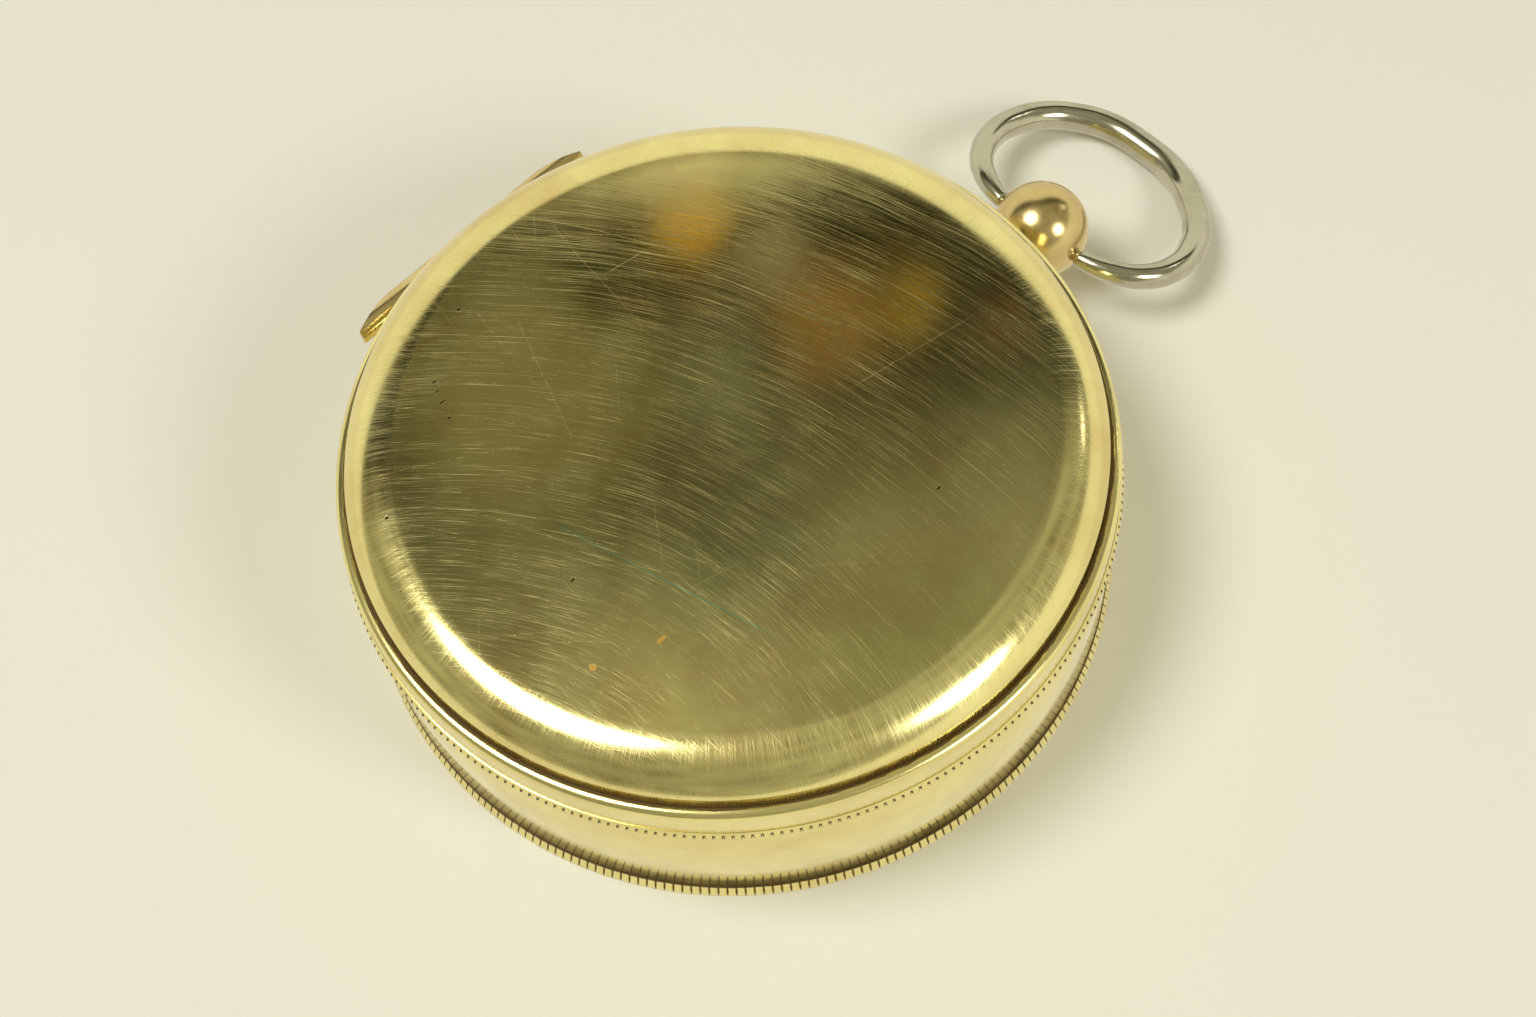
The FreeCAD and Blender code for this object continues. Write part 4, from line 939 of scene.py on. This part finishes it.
# The middle of the wire on one side, in shares of the half width and of the length.
BOW_LINE_SHARES = (
    (0.68, 0.06),
    (0.89, 0.18),
    (1.00, 0.38),
    (0.97, 0.56),
    (0.86, 0.72),
    (0.66, 0.86),
    (0.37, 0.97),
)


def bow():
    """A tapered wire bow that droops from the ball to the table and leans a little from use."""
    droop = math.asin((BALL.z - BOW_RADIUS - 0.1 * MM) / BOW_LENGTH)
    outward = Vector((0, math.cos(droop), -math.sin(droop)))
    across = Vector((1, 0, 0))
    root = (BALL_RADIUS + 0.35 * MM, 0)
    half = [root] + [(a * BOW_HALF_WIDTH, b * BOW_LENGTH) for a, b in BOW_LINE_SHARES]
    line = half + [(0, BOW_LENGTH)] + [(-a, b) for a, b in reversed(half)]
    pin_end = BALL_RADIUS - 1.4 * MM
    line = [(pin_end, 0), (BALL_RADIUS, 0)] + line + [(-BALL_RADIUS, 0), (-pin_end, 0)]
    data = bpy.data.curves.new("bow_line", "CURVE")
    data.dimensions = "3D"
    spline = data.splines.new("BEZIER")
    spline.bezier_points.add(len(line) - 1)
    walked = [0.0]
    for (a, b), (c, d) in zip(line, line[1:]):
        walked.append(walked[-1] + math.hypot(c - a, d - b))
    for index, (point, (a, b)) in enumerate(zip(spline.bezier_points, line)):
        point.co = BALL + across * (a - BOW_LEAN * (b / BOW_LENGTH) ** 2) + outward * b
        point.handle_left_type = "AUTO"
        point.handle_right_type = "AUTO"
        share = 1 - abs(2 * (walked[index] - walked[2]) / (walked[-3] - walked[2]) - 1)
        swell = math.sqrt(min(1.0, max(share, 0.0) / BOW_SWELL_SHARE))
        point.radius = BOW_END_RADIUS + (BOW_RADIUS - BOW_END_RADIUS) * swell
        if index < 2 or index > len(line) - 3:
            point.radius = BOW_PIN_RADIUS
    data.bevel_depth = 1.0
    data.bevel_resolution = 10
    data.resolution_u = 14
    data.use_fill_caps = True
    carrier = new_object("bow_line", data)
    shape = bmesh.new()
    shape.from_mesh(baked(carrier))
    bpy.data.objects.remove(carrier)
    bmesh.ops.remove_doubles(shape, verts=shape.verts, dist=WELD)
    bmesh.ops.recalc_face_normals(shape, faces=shape.faces)
    finish_piece(shape, "bow_wire", "bow", WHITE_METAL, "bow")


# Inside, seen with the lid open

def rose():
    """A plain eight-pointed compass star and three thin rings, printed on the card."""
    dark, light = bmesh.new(), bmesh.new()
    # Two stars of four points: reach, waist, turn of the first point, turn from a point to the waist
    # beside it, and height above the card.
    stars = (
        (15.5 * MM, 3.2 * MM, 0, math.pi / 4, 2 * INK_THICKNESS),
        (10.5 * MM, 3.0 * MM, math.pi / 4, math.pi / 8, INK_THICKNESS),
    )
    for reach, waist, first, spread, lift in stars:
        foot = Vector((0, 0, CARD_TOP + lift))
        for quarter in range(4):
            angle = first + math.pi / 2 * quarter
            tip = foot + Matrix.Rotation(angle, 3, "Z") @ Vector((0, reach, 0))
            for side, shape in ((1, dark), (-1, light)):
                knee = foot + Matrix.Rotation(angle + side * spread, 3, "Z") @ Vector((0, waist, 0))
                corners = [foot, tip, knee][::-side]
                shape.faces.new([shape.verts.new(corner) for corner in corners])
    finish_piece(dark, "rose_dark", "case", BLACK_INK)
    finish_piece(light, "rose_light", "case", RED_INK)
    line = 0.15 * MM
    for number, reach in enumerate((7.5 * MM, 16.4 * MM, 21.0 * MM)):
        ring = turned(reach, reach + line, CARD_TOP, CARD_TOP + INK_THICKNESS, 192)
        finish_piece(ring, "card_ring_%d" % number, "case", BLACK_INK)


def lettering(words, reach, size, height, name):
    """Upright letters or numbers round the dial, made flat meshes."""
    shape = bmesh.new()
    for word, angle in words:
        data = bpy.data.curves.new("letter", "FONT")
        data.body = word
        data.size = size
        data.align_x = "CENTER"
        data.align_y = "CENTER"
        data.extrude = INK_THICKNESS
        carrier = new_object("letter", data)
        mesh = baked(carrier)
        bpy.data.objects.remove(carrier)
        turn = Matrix.Rotation(-math.radians(angle), 4, "Z") @ Matrix.Translation((0, reach, height))
        mesh.transform(turn)
        shape.from_mesh(mesh)
        bpy.data.meshes.remove(mesh)
    bmesh.ops.remove_doubles(shape, verts=shape.verts, dist=WELD)
    finish_piece(shape, name, "case", BLACK_INK)


def dial():
    """What is printed on the card and engraved on the degree ring."""
    rose()
    letters = [("N", 0), ("E", 90), ("S", 180), ("W", 270)]
    lettering(letters, 18.7 * MM, 3.6 * MM, CARD_TOP + INK_THICKNESS, "card_letters")
    numbers = [(str(degree), degree) for degree in range(0, 360, 30)]
    reach, height = CHAPTER_OUTER - 3.8 * MM, CHAPTER_TOP + 0.002 * MM
    lettering(numbers, reach, 1.35 * MM, height, "degree_numbers")
    ticks = bmesh.new()
    inner = CHAPTER_OUTER - 2.7 * MM
    for degree in range(0, 360, 2):
        width, length = (0.09 * MM, 1.5 * MM) if degree % 10 == 0 else (0.06 * MM, 0.8 * MM)
        made = bmesh.ops.create_cube(ticks, size=1.0)["verts"]
        bmesh.ops.scale(ticks, vec=(width, length, 0.006 * MM), verts=made)
        outwards = Matrix.Translation((0, inner + length / 2, CHAPTER_TOP))
        turn = Matrix.Rotation(math.radians(degree), 4, "Z")
        bmesh.ops.transform(ticks, matrix=turn @ outwards, verts=made)
    finish_piece(ticks, "degree_ticks", "case", BLACK_INK)


def needle():
    """A lozenge needle, blued, with a ridge along its middle; the south half is left bright."""
    low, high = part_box("needle")
    half_width, half_length, top = high
    foot, edge = low[2] + 0.02 * MM, top - 0.05 * MM
    halves = (("north", half_length, BLUED, "blued_steel"), ("south", -half_length, STEEL, "steel"))
    for word, reach, material, slot in halves:
        shape = bmesh.new()
        for x, y in ((-half_width, 0), (half_width, 0), (0, reach)):
            shape.verts.new((x, y, foot))
            shape.verts.new((x, y, edge))
        shape.verts.new((0, 0, top))
        bmesh.ops.convex_hull(shape, input=shape.verts)
        bmesh.ops.recalc_face_normals(shape, faces=shape.faces)
        finish_piece(shape, "needle_" + word, "needle", material, "needle", sharp=1)


def dress_cad_nodes():
    """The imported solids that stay: each gets its metal."""
    looks = {
        "dial_plate": INNER_BRASS,
        "dial_card": CARD,
        "chapter_ring": SILVERED,
        "dial_posts": INNER_BRASS,
        "dial_screws": BLUED,
        "pivot_boss": INNER_BRASS,
        "pivot_pin": STEEL,
        "pendant_nut": INNER_BRASS,
        "lever_bracket": INNER_BRASS,
        "lever_pin": STEEL,
        "hinge_pin": STEEL,
        "return_spring": BLUED,
        "spring_screw": STEEL,
        "lock_pin": INNER_BRASS,
        "lifter_lever": INNER_BRASS,
        "lift_sleeve": INNER_BRASS,
        "needle_cap": INNER_BRASS,
        "needle_jewel": AGATE,
        "balance_slider": INNER_BRASS,
    }
    for name, material in looks.items():
        for slot in frame["nodes"][name].material_slots:
            slot.material = material


# Surroundings

def pixel_ray(x, y):
    """The direction from the camera through a pixel of the photograph."""
    focal = CAMERA_LENS / SENSOR * IMAGE_SIZE[0]
    forward = CAMERA_UP.cross(CAMERA_RIGHT)
    across = (x - IMAGE_SIZE[0] / 2) / focal
    up = (IMAGE_SIZE[1] / 2 - y) / focal
    return (forward + CAMERA_RIGHT * across + CAMERA_UP * up).normalized()


def mirrored(x, y):
    """Where the crowned top of the lid sends the ray through a pixel."""
    ray = pixel_ray(x, y)
    hit = CAMERA_PLACE + ray * ((DOME_TOP - CAMERA_PLACE.z) / ray.z)
    normal = Vector((hit.x / CROWN_RADIUS, hit.y / CROWN_RADIUS, 1)).normalized()
    return ray - normal * 2 * ray.dot(normal)


# Blurred things that the lid mirrors: the pixel where each shows, its half width in pixels, its
# colour and how much it covers.
REFLECTED = (
    ((530, 380), 105, "#8A8762", 0.7),
    ((615, 272), 56, "#292B18", 0.85),
    ((820, 215), 46, "#1C1E12", 0.95),
    ((860, 288), 28, "#242412", 0.8),
    ((694, 220), 27, "#D6AC3A", 1.0),
    ((772, 254), 27, "#96937F", 0.95),
    ((820, 318), 40, "#92703F", 0.85),
    ((908, 300), 30, "#9C8434", 0.95),
    ((1016, 322), 13, "#A2623C", 0.75),
    ((715, 380), 36, "#8A9482", 0.55),
    ((860, 450), 40, "#4E4226", 0.6),
    ((745, 560), 62, "#48524A", 0.7),
    ((640, 600), 42, "#747C68", 0.5),
    ((622, 697), 36, "#80602F", 0.7),
    ((905, 620), 70, "#858B6C", 0.6),
)
DEGREES_PER_PIXEL = 0.0346


def surroundings():
    """A pale sweep behind the object and a dim room above it, which only mirrors show. Plain
    surfaces are lit by an even pale sky."""
    world = bpy.data.worlds.new("studio")
    bpy.context.scene.world = world
    world.use_nodes = True
    tree = world.node_tree
    place = (add(tree, "TexCoord"), "Generated")
    parts = add(tree, "SeparateXYZ", {0: place})
    # The sweep is highest on the far side, and there is none in front.
    far = CAMERA_UP.cross(CAMERA_RIGHT)
    far = Vector((far.x, far.y, 0)).normalized()
    level = add(tree, "VectorMath", {0: place, 1: (1, 1, 0)}, operation="MULTIPLY")
    heading = add(tree, "VectorMath", {0: level}, operation="NORMALIZE")
    facing = add(tree, "VectorMath", {0: heading, 1: far}, operation="DOT_PRODUCT")
    ahead = add(tree, "Math", {0: facing, 1: 0.0}, operation="MAXIMUM")
    narrowed = add(tree, "Math", {0: ahead, 1: 1.7}, operation="POWER")
    sweep = add(tree, "Math", {0: narrowed, 1: 0.71, 2: 0.06}, operation="MULTIPLY_ADD")
    aside = Vector((CAMERA_RIGHT.x, CAMERA_RIGHT.y, 0)).normalized()
    beside = add(tree, "VectorMath", {0: heading, 1: aside}, operation="DOT_PRODUCT")
    screen = add(tree, "Math", {0: beside, 1: 0.43}, operation="MULTIPLY")
    edge = add(tree, "Math", {0: sweep, 1: screen}, operation="MAXIMUM")
    above = add(tree, "Math", {0: (parts, 2), 1: edge}, operation="SUBTRACT")
    away = add(tree, "VectorMath", {0: place, 1: far}, operation="DOT_PRODUCT")
    # The room starts above the sweep's edge, and it is lighter overhead and in front.
    dim, dark, near_side = [
        add(
            tree,
            "MapRange",
            {"Value": value, "From Min": start, "From Max": full},
            interpolation_type="SMOOTHSTEP",
        )
        for value, start, full in ((above, -0.012, 0.02), (above, 0.0, 0.035), (away, 0.54, 0.34))
    ]
    room = add(tree, "TexNoise", {"Vector": place, "Scale": 7.0, "Detail": 3.0})
    walls = add(tree, "ValToRGB", {0: room}, stops=[(0.35, "#1B1D13"), (0.65, "#3F4032")])
    lighter = add(tree, "ValToRGB", {0: room}, stops=[(0.35, "#7A7A65"), (0.65, "#BAB89C")])
    all_walls = add(tree, "Mix", {0: near_side, 6: walls, 7: lighter}, data_type="RGBA")
    colour = add(tree, "Mix", {0: dark, 6: linear("#9A9877"), 7: all_walls}, data_type="RGBA")
    for (x, y), half_width, tone, cover in REFLECTED:
        near = add(tree, "VectorMath", {0: place, 1: mirrored(x, y)}, operation="DOT_PRODUCT")
        width = math.radians(half_width * DEGREES_PER_PIXEL)
        blur = {"From Min": math.cos(1.5 * width), "From Max": math.cos(0.5 * width), "To Max": cover}
        inside = add(tree, "MapRange", {"Value": near, **blur}, interpolation_type="SMOOTHSTEP")
        colour = add(tree, "Mix", {0: inside, 6: colour, 7: linear(tone)}, data_type="RGBA")
    mirror = add(tree, "Mix", {0: dim, 6: linear("#F2F0DA"), 7: colour}, data_type="RGBA")
    path = add(tree, "LightPath")
    sky = linear("#F3E8C6", 0.37)
    seen = add(tree, "Mix", {0: (path, "Is Glossy Ray"), 6: sky, 7: mirror}, data_type="RGBA")
    kinds = {0: (path, "Is Camera Ray"), 1: (path, "Is Transmission Ray")}
    straight = add(tree, "Math", kinds, operation="MAXIMUM")
    final = add(tree, "Mix", {0: straight, 6: seen, 7: linear("#E8E6D2")}, data_type="RGBA")
    feed(tree, tree.nodes["Background"], {"Color": final})


def table_top():
    """A plain pale board that fades into the background. Mirrors see it a little brighter than it
    is lit, as they see the background."""
    material, tree, shader = new_material("pale_board", "#EFF0E6", roughness=0.75)
    shine = add(tree, "Emission", {"Color": linear("#F5F0DC"), "Strength": 0.88})
    path = add(tree, "LightPath")
    share = add(tree, "Math", {0: (path, "Is Glossy Ray"), 1: 0.9}, operation="MULTIPLY")
    mixed = add(tree, "MixShader", {0: share, 1: shader, 2: shine})
    feed(tree, tree.nodes["Material Output"], {"Surface": mixed})
    shape = bmesh.new()
    bmesh.ops.create_grid(shape, x_segments=1, y_segments=1, size=2.0)
    mesh = bpy.data.meshes.new("table_top")
    shape.to_mesh(mesh)
    shape.free()
    mesh.materials.append(material)
    board = new_object("table_top", mesh)
    board.location = (0, 0, -0.02 * MM)


# The lamps: name, direction, size and power. Their directions come from their highlights on the
# ball and the lid's shoulder.
LAMP_DISTANCE = 0.6
LAMPS = (
    ("left_softbox", (-0.242, -0.309, 0.918), 0.27, 1.74),
    ("right_softbox", (0.767, 0.173, 0.617), 0.20, 1.0),
    ("far_lamp", (0.18, 0.81, 0.55), 0.035, 0.03),
)


def lamps():
    for name, direction, size, power in LAMPS:
        data = bpy.data.lights.new(name, "AREA")
        data.shape = "DISK"
        data.size = size
        data.energy = power
        data.color = linear("#FFFDF6")[:3]
        place = Vector(direction).normalized() * LAMP_DISTANCE
        light = new_object(name, data)
        light.location = place
        light.rotation_euler = (-place).to_track_quat("-Z", "Y").to_euler()


def camera():
    data = bpy.data.cameras.new("camera")
    data.lens = CAMERA_LENS
    data.sensor_width = SENSOR
    data.clip_start = 0.005
    backward = CAMERA_RIGHT.cross(CAMERA_UP).normalized()
    right = CAMERA_RIGHT.normalized()
    up = backward.cross(right)
    turn = Matrix((right, up, backward)).transposed().to_4x4()
    holder = new_object("camera", data)
    holder.matrix_world = Matrix.Translation(CAMERA_PLACE) @ turn
    bpy.context.scene.camera = holder


camera()
milled_base()
drum()
glazing()
dome()
band()
lid_milling()
lid_snap()
hinge()
pendant()
bow()
dial()
needle()
dress_cad_nodes()
table_top()
lamps()
surroundings()

bpy.context.scene.view_settings.view_transform = "Standard"
